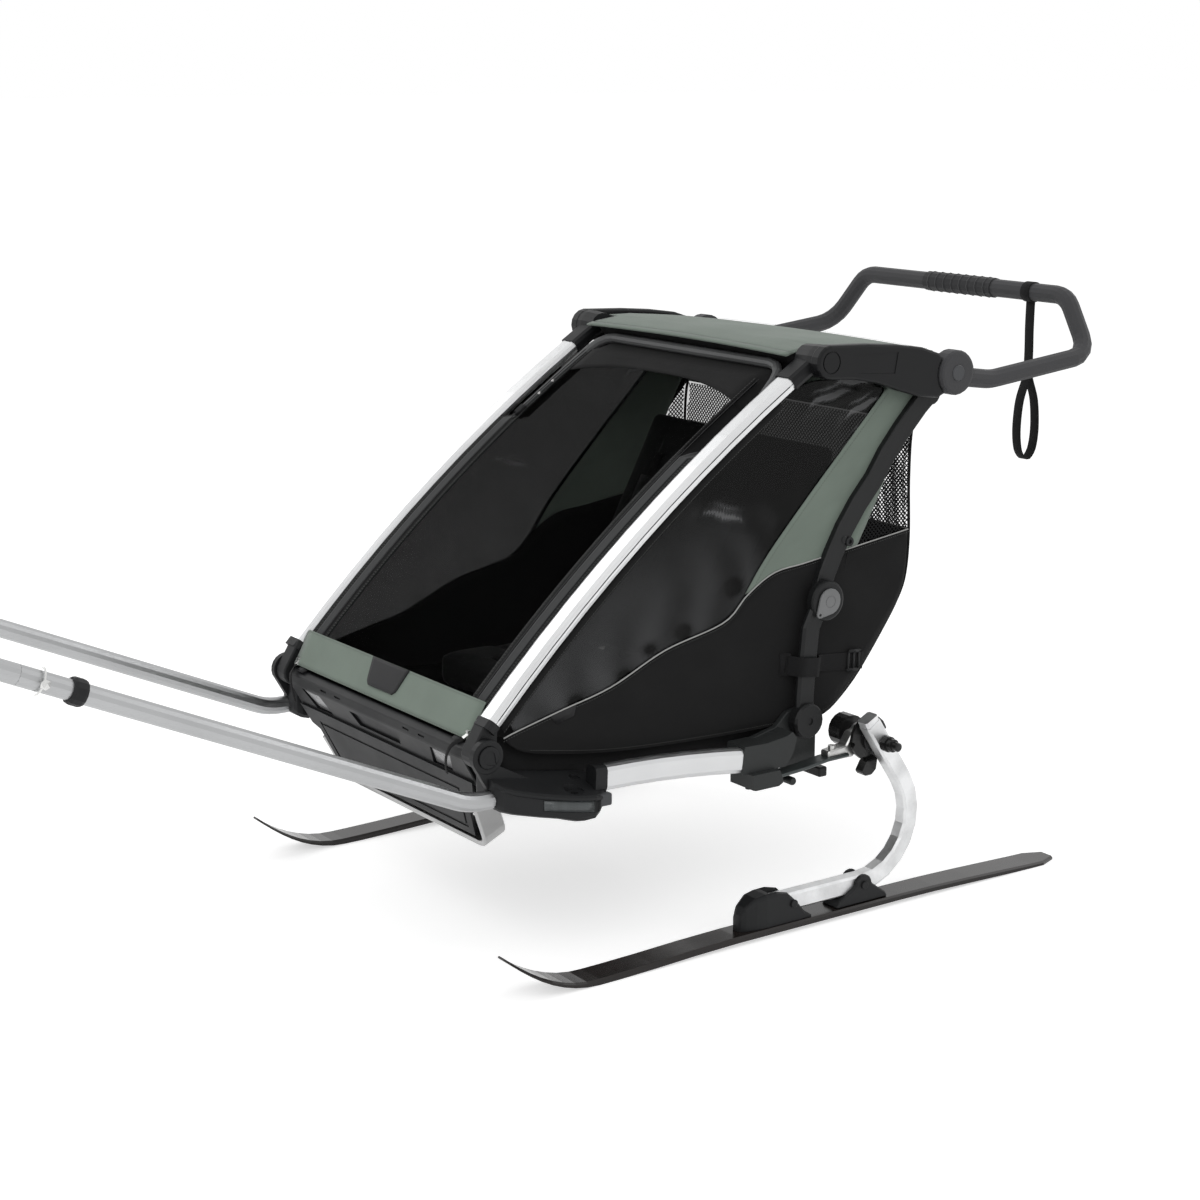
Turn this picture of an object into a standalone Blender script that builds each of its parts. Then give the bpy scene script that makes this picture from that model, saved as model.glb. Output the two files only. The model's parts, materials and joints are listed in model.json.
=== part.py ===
"""Two-seat child trailer on skis, with two towing arms, drawn in metres, +Z up.

The front of the trailer, where the arms are, points to -Y.
The origin lies on the floor, under the centre of the whole object.
Every piece is its own object, and a moving piece has its origin on its pivot axis.
"""

import math

import bmesh
import bpy
from mathutils import Matrix, Vector

# Pivots in the side view, as (y, z)
FRONT_PIVOT = (0.220, 0.340)
SHOULDER = (0.824, 0.859)
STRUT_HEAD = (1.050, 0.792)
KNEE = (0.833, 0.489)
STRUT_FOOT = (0.796, 0.303)
HANDLE_PIVOT = (1.081, 0.825)
LEAF_ROOT = (0.712, 0.2332)
HUB_AXIS = (0.896, 0.267)
CROSS_BAR = (0.827, 0.2155)
BRAKE_PIVOT = (0.855, 0.218)
GAP = 0.0003

# Side distances from the middle plane
TUBE_X = 0.288
FOOT_X = (0.2700, 0.2975)
TUBE_WIDTH = 0.038
TUBE_DEPTH = 0.0205
UPPER_STRUT_X = (0.2975, 0.3087)
LOWER_STRUT_X = (0.3090, 0.3215)
COVER_X = (0.3090, 0.3300)
CHEEK_X = (0.2975, 0.3027)
LEVER_X = (0.3254, 0.3295)
PANEL_X = (0.2945, 0.2970)
RAIL_X = 0.330
LEAF_X = 0.3375
RELEASE_X = 0.3490
SKI_X = 0.380

# Bowed front tube, measured along the line from the front pivot to the shoulder
TUBE_START = 0.042
TUBE_END = 0.735
TUBE_START_LIFT = 0.024
TUBE_END_LIFT = 0.012
TUBE_BOW = 0.0215

# Side rail
RAIL_FRONT = (0.4035, 0.2838)
RAIL_REAR = (0.6545, 0.2655)
RAIL_ARCH = 0.004
RAIL_SIZE = (0.024, 0.039)
RAIL_END_LEAN = 0.124

# Rear cross bar
CROSS_BAR_HALF = 0.3280
CROSS_BAR_SIZE = 0.0160

# Wing of the hitch housing; its top falls outwards and to the rear from one point (x, y, z)
WING_INNER = 0.2840
WING_TOP = (0.300, 0.270, 0.303)
WING_SLOPE = (0.30, 0.17)
WING_OVERHANG = 0.0025
WINDOW_Y = (0.284, 0.369)
WINDOW_LOW = (0.2600, 0.2440)
WINDOW_HIGH = (0.2765, 0.2630)
WINDOW_DEPTH = 0.0014
DISH = (0.3410, 0.345)
DISH_RADIUS = 0.0165

# Towing arm
ARM_RADIUS = 0.014
ARM_HEIGHT = 0.278
ARM_X_REAR = 0.309
ARM_X_FRONT = 0.288
ARM_SOCKET_END = 0.300
ARM_BEND_Y = 0.185
ARM_SLOPE = 0.4430
ARM_SPLIT_Y = -0.460
ARM_CLAMP_Y = -0.384
ARM_PIN_Y = -0.432
ARM_TIP_Y = -1.388
SPIGOT_RADIUS = 0.0115
SPIGOT_LENGTH = 0.060
PIN_RADIUS = 0.003

# Handlebar
BAR_RADIUS = 0.0152
HUB_RADIUS = 0.0355
HUB_X = (0.3030, 0.3345)
BAR_REAR_Y = 1.4045
BAR_LOW = 0.8310
BAR_HIGH = 0.9210
BAR_SIDE_X = 0.3185
BAR_TOP_X = 0.2500
BUTTON_SEAT_X = 0.3300
GRIP_HALF = 0.083
GRIP_RIBS = 8
STRAP_X = 0.168

# Ski leg
LEG_SIZE = (0.025, 0.0285)
LEG_TOP = (0.874, 0.300)
LEG_LOW_Z = 0.0440
LEG_LOW_FRONT = 0.668
LEG_LEAN = math.radians(56)
LEG_BEND = 0.101
SKI_TIP_Y = 0.192
SKI_LIFT_Y = 0.345
SKI_TAIL_Y = 1.277
SKI_TAIL_CLIP = 0.033
SKI_WIDTH = 0.055
SKI_THICKNESS = 0.009
SKI_TIP_RISE = 0.066
SKI_CAMBER = 0.006
SKI_CAMBER_FLAT = (0.600, 0.930)
SKI_REST_Y = (0.360, 1.240)

# Roof cloth
ROOF_HALF = 0.2960
ROOF_FRONT_HALF = 0.2660
ROOF_CROWN = 0.003
ROOF_CLOTH = 0.0022

# Rear cloth
REAR_HALF = 0.2930
REAR_CLOTH = 0.003

# Seat pads
PAD_WAIST = 0.006
SEAT_HALF = 0.235
BACK_LEAN = math.radians(62)
BACK_FOOT = (0.0, 0.735, 0.330)

# Front window sheet
WINDSHIELD_HALF = 0.2665

# Front apron and the hoop round it
PANEL_HALF = 0.266
APRON_TOP = (0.222, 0.288)
APRON_LEAN = 0.408
FACE_TOP = (0.2035, 0.3300)
FACE_LEAN = 0.55
HOOP_BAR = (0.040, 0.0095)


def clear_scene():
    """Start from an empty scene."""
    for old in list(bpy.data.objects):
        bpy.data.objects.remove(old, do_unlink=True)


def finish(name, colour, roughness, metallic=0.0, alpha=1.0):
    """Return a material, made once for each name."""
    made = bpy.data.materials.get(name)
    if made:
        return made
    made = bpy.data.materials.new(name)
    made.use_nodes = True
    shader = made.node_tree.nodes["Principled BSDF"]
    shader.inputs["Base Color"].default_value = (*colour, 1.0)
    shader.inputs["Roughness"].default_value = roughness
    shader.inputs["Metallic"].default_value = metallic
    shader.inputs["Alpha"].default_value = alpha
    made.diffuse_color = (*colour, alpha)
    return made


def black_plastic():
    """Moulded black plastic of the covers, housings and shoes."""
    return finish("black_plastic", (0.028, 0.029, 0.031), 0.50)


def grey_plastic():
    """Paler plastic of the buttons and the roof hoop."""
    return finish("grey_plastic", (0.12, 0.13, 0.13), 0.45)


def satin_aluminium():
    """Clear anodised tube and bar."""
    return finish("satin_aluminium", (0.72, 0.73, 0.74), 0.32, 1.0)


def spring_steel():
    """Dark flat spring."""
    return finish("spring_steel", (0.055, 0.062, 0.064), 0.40, 0.8)


def cast_metal():
    """Cast blocks, pins and levers."""
    return finish("cast_metal", (0.50, 0.50, 0.50), 0.45, 1.0)


def gloss_black():
    """Lacquer of the skis and hubs."""
    return finish("gloss_black", (0.014, 0.012, 0.012), 0.22)


def foam_grey():
    """Foam skin of the handlebar."""
    return finish("foam_grey", (0.044, 0.045, 0.048), 0.80)


def green_fabric():
    """Grey-green cloth of the roof."""
    return finish("green_fabric", (0.165, 0.205, 0.175), 0.85)


def black_fabric():
    """Black cloth of the body and the seats."""
    return finish("black_fabric", (0.016, 0.016, 0.017), 0.90)


def tinted_film():
    """Smoke-grey window sheet."""
    return finish("tinted_film", (0.05, 0.055, 0.055), 0.15)


def add_object(name, mesh_data, material, origin=(0.0, 0.0, 0.0), sharp=35.0):
    """Turn a bmesh into an object whose origin lies at the given point."""
    bmesh.ops.remove_doubles(mesh_data, verts=mesh_data.verts, dist=1e-6)
    bmesh.ops.recalc_face_normals(mesh_data, faces=mesh_data.faces)
    bmesh.ops.translate(mesh_data, verts=mesh_data.verts, vec=-Vector(origin))
    mesh = bpy.data.meshes.new(name)
    mesh_data.to_mesh(mesh)
    mesh_data.free()
    mesh.shade_smooth()
    mesh.set_sharp_from_angle(angle=math.radians(sharp))
    mesh.materials.append(material)
    made = bpy.data.objects.new(name, mesh)
    made.location = origin
    bpy.context.scene.collection.objects.link(made)
    return made


def side_name(name, side):
    """Name of a piece on the left (+1) or right (-1) side."""
    return name + ("_left" if side > 0 else "_right")


def add_bevel(target, width, segments=2, angle=40.0):
    """Round the edges that are sharper than the angle."""
    bevel = target.modifiers.new("Bevel", "BEVEL")
    bevel.width = width
    bevel.segments = segments
    bevel.limit_method = "ANGLE"
    bevel.angle_limit = math.radians(angle)
    return bevel


def combine(target, other, operation):
    """Add a Boolean and keep the second shape as a hidden guide."""
    step = target.modifiers.new(operation.title(), "BOOLEAN")
    step.operation = operation
    step.object = other
    step.solver = "EXACT"
    other.hide_render = True
    other.display_type = "WIRE"


def join(target, *others):
    """Add shapes to a body."""
    for other in others:
        combine(target, other, "UNION")


def cut(target, *others):
    """Take shapes out of a body."""
    for other in others:
        combine(target, other, "DIFFERENCE")


def arc(centre, radius, start, end, steps):
    """Points on an arc in a plane; the angles are in degrees."""
    points = []
    for step in range(steps + 1):
        turn = math.radians(start + (end - start) * step / steps)
        points.append((centre[0] + radius * math.cos(turn), centre[1] + radius * math.sin(turn)))
    return points


def rounded_path(corners, radii, steps=5):
    """A path through corner points whose corners are arcs of the given radii."""
    points = [Vector(corners[0])]
    for index in range(1, len(corners) - 1):
        corner = Vector(corners[index])
        back = (Vector(corners[index - 1]) - corner).normalized()
        ahead = (Vector(corners[index + 1]) - corner).normalized()
        half = back.angle(ahead) / 2
        reach = radii[index - 1] / math.tan(half)
        middle = corner + (back + ahead).normalized() * radii[index - 1] / math.sin(half)
        first = corner + back * reach - middle
        last = corner + ahead * reach - middle
        swing = first.angle(last)
        for step in range(steps + 1):
            share = step / steps
            weight = math.sin((1 - share) * swing), math.sin(share * swing)
            points.append(middle + (first * weight[0] + last * weight[1]) / math.sin(swing))
    points.append(Vector(corners[-1]))
    return points


def flat_path(points, x):
    """Lift (y, z) points to the plane at the given x."""
    return [Vector((x, y, z)) for y, z in points]


def rounded_section(width, height, corner, steps=3):
    """Outline of a rounded rectangle about its centre."""
    outline = []
    for turn, (across, up) in enumerate(((1, 1), (-1, 1), (-1, -1), (1, -1))):
        centre = (across * (width / 2 - corner), up * (height / 2 - corner))
        outline += arc(centre, corner, 90 * turn, 90 * turn + 90, steps)
    return outline


def round_section(radius, sides=16):
    """Outline of a circle about its centre."""
    return arc((0, 0), radius, 0, 360 * (sides - 1) / sides, sides - 1)


def skin_rings(rings, closed=False):
    """Build a closed body through equal rings of points."""
    body = bmesh.new()
    rows = [[body.verts.new(point) for point in ring] for ring in rings]
    count = len(rows[0])
    pairs = list(zip(rows, rows[1:]))
    if closed:
        pairs.append((rows[-1], rows[0]))
    for lower, upper in pairs:
        for index in range(count):
            after = (index + 1) % count
            body.faces.new((lower[index], lower[after], upper[after], upper[index]))
    if not closed:
        body.faces.new(rows[0])
        body.faces.new(rows[-1])
    return body


def sweep(path, section, side_axis=(1, 0, 0), scale=None, closed=False):
    """Skin a section along a path; the section's first axis stays near side_axis."""
    rings = []
    side_hint = Vector(side_axis)
    last = len(path) - 1
    for index, point in enumerate(path):
        before = path[index - 1] if index or closed else path[0]
        after = path[(index + 1) % len(path)] if index < last or closed else path[last]
        along = (after - before).normalized()
        lift = side_hint.cross(along).normalized()
        side_hint = along.cross(lift).normalized()
        size = scale(index / last) if scale else (1.0, 1.0)
        rings.append([point + side_hint * u * size[0] + lift * v * size[1] for u, v in section])
    return skin_rings(rings, closed)


def prism(outline, low, high, axis="X"):
    """Extrude a flat outline between two planes across X, Y or Z."""
    places = {"X": lambda u, v, w: (w, u, v), "Y": lambda u, v, w: (u, w, v), "Z": lambda u, v, w: (u, v, w)}
    place = places[axis]
    rings = [[place(u, v, low) for u, v in outline], [place(u, v, high) for u, v in outline]]
    return skin_rings(rings)


def turned(profile, centre, steps=16):
    """Spin a profile of (x, radius) points about a line along X through centre (y, z)."""
    rings = []
    for x, radius in profile:
        circle = arc(centre, radius, 0, 360 * (steps - 1) / steps, steps - 1)
        rings.append([(x, y, z) for y, z in circle])
    return skin_rings(rings)


def turned_ring(profile, centre, steps=16):
    """Spin a closed profile about a line along X, so that the middle stays open."""
    rings = []
    for x, radius in profile:
        circle = arc(centre, radius, 0, 360 * (steps - 1) / steps, steps - 1)
        rings.append([(x, y, z) for y, z in circle])
    return skin_rings(rings, closed=True)


def block(low, high):
    """A box between two corners."""
    outline = [(low[0], low[1]), (high[0], low[1]), (high[0], high[1]), (low[0], high[1])]
    return prism(outline, low[2], high[2], "Z")


def rod(start, end, radius, steps=16):
    """A straight round bar between two points."""
    along = Vector(end) - Vector(start)
    hint = (0, 0, 1) if abs(along.normalized().z) < 0.9 else (1, 0, 0)
    return sweep([Vector(start), Vector(end)], round_section(radius, steps), hint)


def mirrored(side, x_low, x_high):
    """Order two side distances for the left (+1) or right (-1) side."""
    return (x_low, x_high) if side > 0 else (-x_high, -x_low)


def flip(piece, side):
    """Turn a shape made for the left side over to the side asked for."""
    if side < 0:
        bmesh.ops.scale(piece, vec=(-1, 1, 1), verts=piece.verts)


def helper(name, mesh_data):
    """A guide shape that only other shapes use."""
    return add_object("guide_" + name, mesh_data, black_plastic())


def tube_frame():
    """Direction along the front tube and the direction square to it, in the side view."""
    along = Vector((SHOULDER[0] - FRONT_PIVOT[0], SHOULDER[1] - FRONT_PIVOT[1]))
    along.normalize()
    return along, Vector((-along.y, along.x))


def tube_point(distance, extra=0.0):
    """Point (y, z) on the bowed middle line of the front tube."""
    along, lift = tube_frame()
    share = (distance - TUBE_START) / (TUBE_END - TUBE_START)
    rise = TUBE_START_LIFT + (TUBE_END_LIFT - TUBE_START_LIFT) * share
    rise += 4 * TUBE_BOW * share * (1 - share) + extra
    point = Vector(FRONT_PIVOT) + along * distance + lift * rise
    return point.x, point.y


def tube_line(start, end, steps, extra=0.0):
    """Points (y, z) along the bowed tube."""
    return [tube_point(start + (end - start) * step / steps, extra) for step in range(steps + 1)]


def make_front_tube(side):
    """Bowed flat tube with a fine groove along its outer face."""
    path = flat_path(tube_line(TUBE_START, TUBE_END, 10), side * TUBE_X)
    outer = TUBE_WIDTH / 2
    groove = [(outer, 0.0005), (outer - 0.0022, 0.0015), (outer - 0.0022, 0.0025), (outer, 0.0035)]
    section = rounded_section(TUBE_WIDTH, TUBE_DEPTH, 0.0078, 2) + groove
    section = [(side * u, v) for u, v in section]
    origin = (side * TUBE_X, *FRONT_PIVOT)
    return add_object(side_name("front_tube", side), sweep(path, section), satin_aluminium(), origin)


def make_tube_foot(side):
    """Black end fitting that turns on the front pivot."""
    along = tube_frame()[0]
    low, high = mirrored(side, *FOOT_X)
    start = Vector(tube_point(TUBE_START))
    ahead = (Vector(tube_line(TUBE_START, TUBE_END, 10)[1]) - start).normalized()
    square = Vector((-ahead.y, ahead.x)) * (TUBE_DEPTH / 2 + 0.0015)
    end_low = tuple(start - ahead * GAP - square)
    end_high = tuple(start - ahead * GAP + square)
    heading = math.degrees(math.atan2(along.y, along.x))
    knuckle = arc(FRONT_PIVOT, 0.022, heading + 100, heading + 300, 10)
    foot = prism([end_high] + knuckle + [end_low], low, high)
    origin = (side * TUBE_X, *FRONT_PIVOT)
    made = add_object(side_name("front_tube_foot", side), foot, black_plastic(), origin)
    add_bevel(made, 0.0025)
    collar_start = start - ahead * 0.014
    collar_path = flat_path([tuple(collar_start), tuple(start - ahead * GAP)], side * TUBE_X)
    collar = sweep(collar_path, rounded_section(TUBE_WIDTH + 0.002, TUBE_DEPTH + 0.002, 0.0078, 2))
    join(made, helper(side_name("tube_collar", side), collar))
    return made


def cover_outline():
    """Side view of the moulded top cover, from the shoulder to the handlebar hub."""
    hub = arc(HANDLE_PIVOT, HUB_RADIUS + 0.0012, 236, 138, 7)
    top = [(1.0430, 0.8585), (1.010, 0.8695), (0.960, 0.8768), (0.900, 0.8820), (0.850, 0.8840)]
    shoulder = arc(SHOULDER, 0.0262, 92, 272, 8)
    belly = [(0.870, 0.8300), (0.920, 0.8200), (0.965, 0.8050), (1.010, 0.7920), (1.045, 0.7880)]
    return hub + top + shoulder + belly


def make_top_cover(side):
    """Plate outside the strut head, a knuckle round the tube's end and a cheek inside the bar hub."""
    name = side_name("top_cover", side)
    origin = (side * TUBE_X, *FRONT_PIVOT)
    made = add_object(name, prism(cover_outline(), *mirrored(side, *COVER_X)), black_plastic(), origin)
    add_bevel(made, 0.004, 2, 50)
    sleeve_path = flat_path(tube_line(TUBE_END + GAP, TUBE_END + 0.058, 2), side * TUBE_X)
    sleeve = sweep(sleeve_path, rounded_section(TUBE_WIDTH + 0.005, TUBE_DEPTH + 0.004, 0.008, 2))
    knuckle = turned([(0.270, 0.0235), (0.300, 0.0255), (0.316, 0.0255)], SHOULDER)
    cheek = turned([(CHEEK_X[0], 0.024), (CHEEK_X[0] + 0.002, 0.026), (CHEEK_X[1], 0.026)], HANDLE_PIVOT)
    arm = prism([(1.081, 0.851), (1.030, 0.862), (1.005, 0.860), (1.005, 0.8125), (1.050, 0.8125),
                 (1.0630, 0.8065)], CHEEK_X[0], CHEEK_X[1])
    web = prism([(1.005, 0.8125), (1.040, 0.8125), (1.040, 0.8590), (1.005, 0.8590)], CHEEK_X[0], 0.3200)
    for piece in (knuckle, cheek, arm, web):
        flip(piece, side)
    join(made, helper(name + "_sleeve", sleeve), helper(name + "_knuckle", knuckle))
    join(made, helper(name + "_cheek", cheek), helper(name + "_arm", arm), helper(name + "_web", web))
    patch = [(0.868, 0.868), (0.880, 0.838), (0.952, 0.833), (0.958, 0.866)]
    recess = prism(patch, *mirrored(side, COVER_X[1] - 0.001, COVER_X[1] + 0.01))
    ring = turned_ring([(COVER_X[1] - 0.0015, 0.0155), (COVER_X[1] - 0.0015, 0.0175),
                        (COVER_X[1] + 0.005, 0.0175), (COVER_X[1] + 0.005, 0.0155)], SHOULDER)
    flip(ring, side)
    cut(made, helper(name + "_patch", recess), helper(name + "_cap", ring))
    return made


def make_roof_bar():
    """Grey hoop under the front edge of the roof, bent down along the front tubes."""
    knee_y, knee_z = tube_point(0.690, -0.0135)
    end_y, end_z = tube_point(0.575, -0.0135)
    half = [(0.2565, end_y, end_z), (0.2565, knee_y, knee_z), (0.2400, 0.8060, 0.8470)]
    path = half + [(-x, y, z) for x, y, z in reversed(half)]
    bar = sweep(rounded_path(path, [0.03, 0.04, 0.04, 0.03], 3), round_section(0.008, 10), (1, 0, 0))
    return add_object("roof_bar", bar, grey_plastic(), (0, *FRONT_PIVOT))


def make_side_rail(side):
    """Slightly arched flat tube from the housing to the rear bracket."""
    points = []
    for step in range(6):
        share = step / 5
        y = RAIL_FRONT[0] + (RAIL_REAR[0] - RAIL_FRONT[0]) * share
        z = RAIL_FRONT[1] + (RAIL_REAR[1] - RAIL_FRONT[1]) * share
        points.append((y, z + RAIL_ARCH * 4 * share * (1 - share)))
    rail = sweep(flat_path(points, side * RAIL_X), rounded_section(*RAIL_SIZE, 0.008, 2))
    return add_object(side_name("side_rail", side), rail, satin_aluminium())


def wing_stations():
    """Inner x, outer x and bottom z of the housing's wing at stations along y."""
    nose = [(0.2185, 0.2800, 0.3020, 0.2700), (0.2215, 0.2730, 0.3220, 0.2660),
            (0.2300, 0.2710, 0.3370, 0.2610), (0.2440, 0.2710, 0.3450, 0.2570)]
    body = [(0.2490, 0.3470, 0.2560), (0.2700, 0.3530, 0.2515), (0.2850, 0.3558, 0.2480),
            (0.3130, 0.3600, 0.2420), (0.3270, 0.3615, 0.2375), (0.3410, 0.3625, 0.2335),
            (0.3560, 0.3627, 0.2315), (0.3720, 0.3615, 0.2315), (0.3820, 0.3585, 0.2380)]
    tail = [(0.3920, 0.2860, 0.3520, 0.2450), (0.4005, 0.2920, 0.3400, 0.2520)]
    return nose + [(y, WING_INNER, outer, bottom) for y, outer, bottom in body] + tail


def wing_top(x, y):
    """Height of the wing's sloping upper face."""
    return WING_TOP[2] - WING_SLOPE[0] * (x - WING_TOP[0]) - WING_SLOPE[1] * (y - WING_TOP[1])


def wing_side(y):
    """Side distance of the wing's outer wall at one y."""
    stations = wing_stations()
    for before, after in zip(stations, stations[1:]):
        if y <= after[0]:
            share = (y - before[0]) / (after[0] - before[0])
            return before[2] + (after[2] - before[2]) * share
    return stations[-1][2]


def wing_body(side):
    """Closed skin of the wing, with a plate that overhangs its outer wall."""
    rings = []
    for y, inner, outer, bottom in wing_stations():
        wall = outer - WING_OVERHANG
        edge = wing_top(outer, y)
        under = [(inner, bottom + 0.006), (inner + 0.006, bottom), (wall - 0.010, bottom)]
        face = [(wall - 0.003, bottom + 0.003), (wall, bottom + 0.009), (wall, edge - 0.0065)]
        rim = [(outer, edge - 0.0045), (outer - 0.0010, edge - 0.0010)]
        deck = [(x, wing_top(x, y)) for x in (outer - 0.006, inner + 0.004)]
        plate = rim + deck + [(inner, wing_top(inner, y) - 0.004)]
        rings.append([(side * x, y, z) for x, z in under + face + plate])
    return skin_rings(rings)


def reflector_window(side):
    """Shallow window that follows the wing's outer wall."""
    rings = []
    front, rear = WINDOW_Y
    for y in (front, 0.300, 0.320, 0.341, 0.356, rear):
        share = (y - front) / (rear - front)
        low = WINDOW_LOW[0] + (WINDOW_LOW[1] - WINDOW_LOW[0]) * share
        high = WINDOW_HIGH[0] + (WINDOW_HIGH[1] - WINDOW_HIGH[0]) * share
        wall = wing_side(y) - WING_OVERHANG
        bed = wall - WINDOW_DEPTH
        ring = [(bed, low), (bed, high), (wall + 0.010, high), (wall + 0.010, low)]
        rings.append([(side * x, y, z) for x, z in ring])
    return skin_rings(rings)


def make_hitch_housing(side):
    """Moulded wing that holds the front pivot, the rail and the towing arm."""
    name = side_name("hitch_housing", side)
    made = add_object(name, wing_body(side), black_plastic(), sharp=28.0)
    boss = arc(FRONT_PIVOT, 0.0255, -40, 200, 14)
    plate = prism(boss + [(0.2200, 0.2900), (0.3020, 0.2900)], *mirrored(side, 0.2985, 0.3085))
    rim = turned([(0.3075, 0.0255), (0.3090, 0.0248), (0.3095, 0.0235)], FRONT_PIVOT, 18)
    well = turned([(0.3072, 0.0175), (0.3120, 0.0175)], FRONT_PIVOT, 18)
    cap = turned([(0.3060, 0.0165), (0.3120, 0.0165), (0.3128, 0.0150)], FRONT_PIVOT, 18)
    collar = sweep(flat_path([(0.382, 0.2842), (0.4025, 0.2830)], side * RAIL_X),
                   rounded_section(RAIL_SIZE[0] + 0.002, RAIL_SIZE[1] + 0.003, 0.008, 2))
    for piece in (rim, well, cap):
        flip(piece, side)
    join(made, helper(name + "_plate", plate), helper(name + "_rim", rim))
    cut(made, helper(name + "_well", well))
    join(made, helper(name + "_cap", cap), helper(name + "_collar", collar))
    mouth = (side * ARM_X_REAR, 0.20, ARM_HEIGHT)
    end = (side * ARM_X_REAR, ARM_SOCKET_END + GAP, ARM_HEIGHT)
    socket = rod(mouth, end, ARM_RADIUS + 0.0008, 14)
    dish = rod((side * DISH[0], DISH[1], 0.2735), (side * DISH[0], DISH[1], 0.300), DISH_RADIUS, 14)
    hole = rod((side * DISH[0], DISH[1], 0.262), (side * DISH[0], DISH[1], 0.300), 0.006, 10)
    small = rod((side * 0.3060, 0.369, 0.2815), (side * 0.3060, 0.369, 0.300), 0.0085, 10)
    pocket = block((side * RELEASE_X - 0.0068, 0.3766, 0.2477), (side * RELEASE_X + 0.0068, 0.42, 0.2673))
    cut(made, helper(name + "_socket", socket), helper(name + "_dish", dish), helper(name + "_hole", hole))
    cut(made, helper(name + "_small", small), helper(name + "_window", reflector_window(side)))
    cut(made, helper(name + "_pocket", pocket))
    drop = arc(FRONT_PIVOT, 0.0105, 40, 250, 8) + [(0.2320, 0.3270)]
    inset = prism(drop, *mirrored(side, 0.3116, 0.320))
    cut(made, helper(name + "_inset", inset))
    return made


def make_hitch_release(side):
    """Sprung tab that lets the towing arm go."""
    name = side_name("hitch_release", side)
    x = side * RELEASE_X
    tab = block((x - 0.0065, 0.3800, 0.2480), (x + 0.0065, 0.4030, 0.2670))
    made = add_object(name, tab, grey_plastic(), (x, 0.3800, 0.2575))
    add_bevel(made, 0.003)
    return made


def apron_y(z):
    """The front face of the apron leans back towards the floor."""
    return APRON_TOP[0] + (APRON_TOP[1] - z) * APRON_LEAN


def face_y(z):
    """The face of the crosspiece above the apron leans the same way, but more."""
    return FACE_TOP[0] + (FACE_TOP[1] - z) * FACE_LEAN


def leaning_pocket(outline, depth, surface):
    """A cutter from the front down to a depth behind a leaning surface; outline is (x, z)."""
    front = [(x, 0.17, z) for x, z in outline]
    back = [(x, surface(z) + depth, z) for x, z in outline]
    return skin_rings([front, back])


def make_apron():
    """Leaning sheet below the crosspiece."""
    rings = []
    for z, half in ((0.2900, 0.262), (0.2600, 0.245), (0.2530, 0.2230), (0.2480, 0.2210), (0.1850, 0.2010)):
        y = apron_y(z)
        back = y + 0.006
        rings.append([(half, y, z), (-half, y, z), (-half + 0.003, back, z), (half - 0.003, back, z)])
    return skin_rings(rings)


def make_front_panel():
    """Moulded crosspiece with its lower apron, a shell about 8 mm thick."""
    face = [(0.2400, 0.3280), (0.2360, 0.3440), (0.2170, 0.3500), (0.2040, 0.3430), (face_y(0.3300), 0.3300),
            (face_y(0.2900), 0.2900), (0.2250, 0.2860)]
    back = [(0.2330, 0.2850), (0.2345, 0.2910), (0.2135, 0.3310), (0.2150, 0.3380), (0.2290, 0.3350),
            (0.2320, 0.3270)]
    made = add_object("front_panel", prism(face + back, -PANEL_HALF, PANEL_HALF), black_plastic())
    add_bevel(made, 0.0015, 1, 30)
    join(made, helper("apron", make_apron()))
    window = [(0.1700, 0.3250), (0.2265, 0.3250), (0.2070, 0.2940), (0.1520, 0.2940)]
    middle = [(-0.075, 0.3220), (0.075, 0.3220), (0.062, 0.3000), (-0.062, 0.3000)]
    pockets = [window, [(-x, z) for x, z in window], middle]
    for index, outline in enumerate(pockets):
        cut(made, helper("front_pocket_%d" % index, leaning_pocket(outline, 0.0045, face_y)))
    for index, x in enumerate((-0.150, -0.105, 0.105, 0.150)):
        slot = block((x - 0.009, 0.190, 0.3355), (x + 0.009, 0.2060, 0.3385))
        cut(made, helper("front_slot_%d" % index, slot))
    rim = [(-0.190, 0.1960), (0.190, 0.1960), (0.2130, 0.2700), (-0.2130, 0.2700)]
    inner = [(x * 0.972, 0.235 + (z - 0.235) * 0.86) for x, z in rim]
    frame = helper("apron_inset", leaning_pocket(rim, 0.0016, apron_y))
    cut(frame, helper("apron_inner", leaning_pocket(inner, 0.010, apron_y)))
    cut(made, frame)
    return made


def make_front_hoop():
    """Flat silver bar bent to a leaning U round the apron."""
    half = [(0.2290, 0.2617, 0.2460), (0.2095, 0.2948, 0.1755)]
    corners = half + [(-x, y, z) for x, y, z in reversed(half)]
    path = rounded_path(corners, [0.028, 0.028], 6)
    bar = sweep(path, rounded_section(*HOOP_BAR, 0.002, 1), (0, 0.906, 0.424))
    return add_object("front_hoop", bar, satin_aluminium())


def rail_end(z):
    """Point of the bracket's front edge, which follows the rail's leaning end."""
    return RAIL_REAR[0] + GAP + (z - RAIL_REAR[1]) * RAIL_END_LEAN, z


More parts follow.
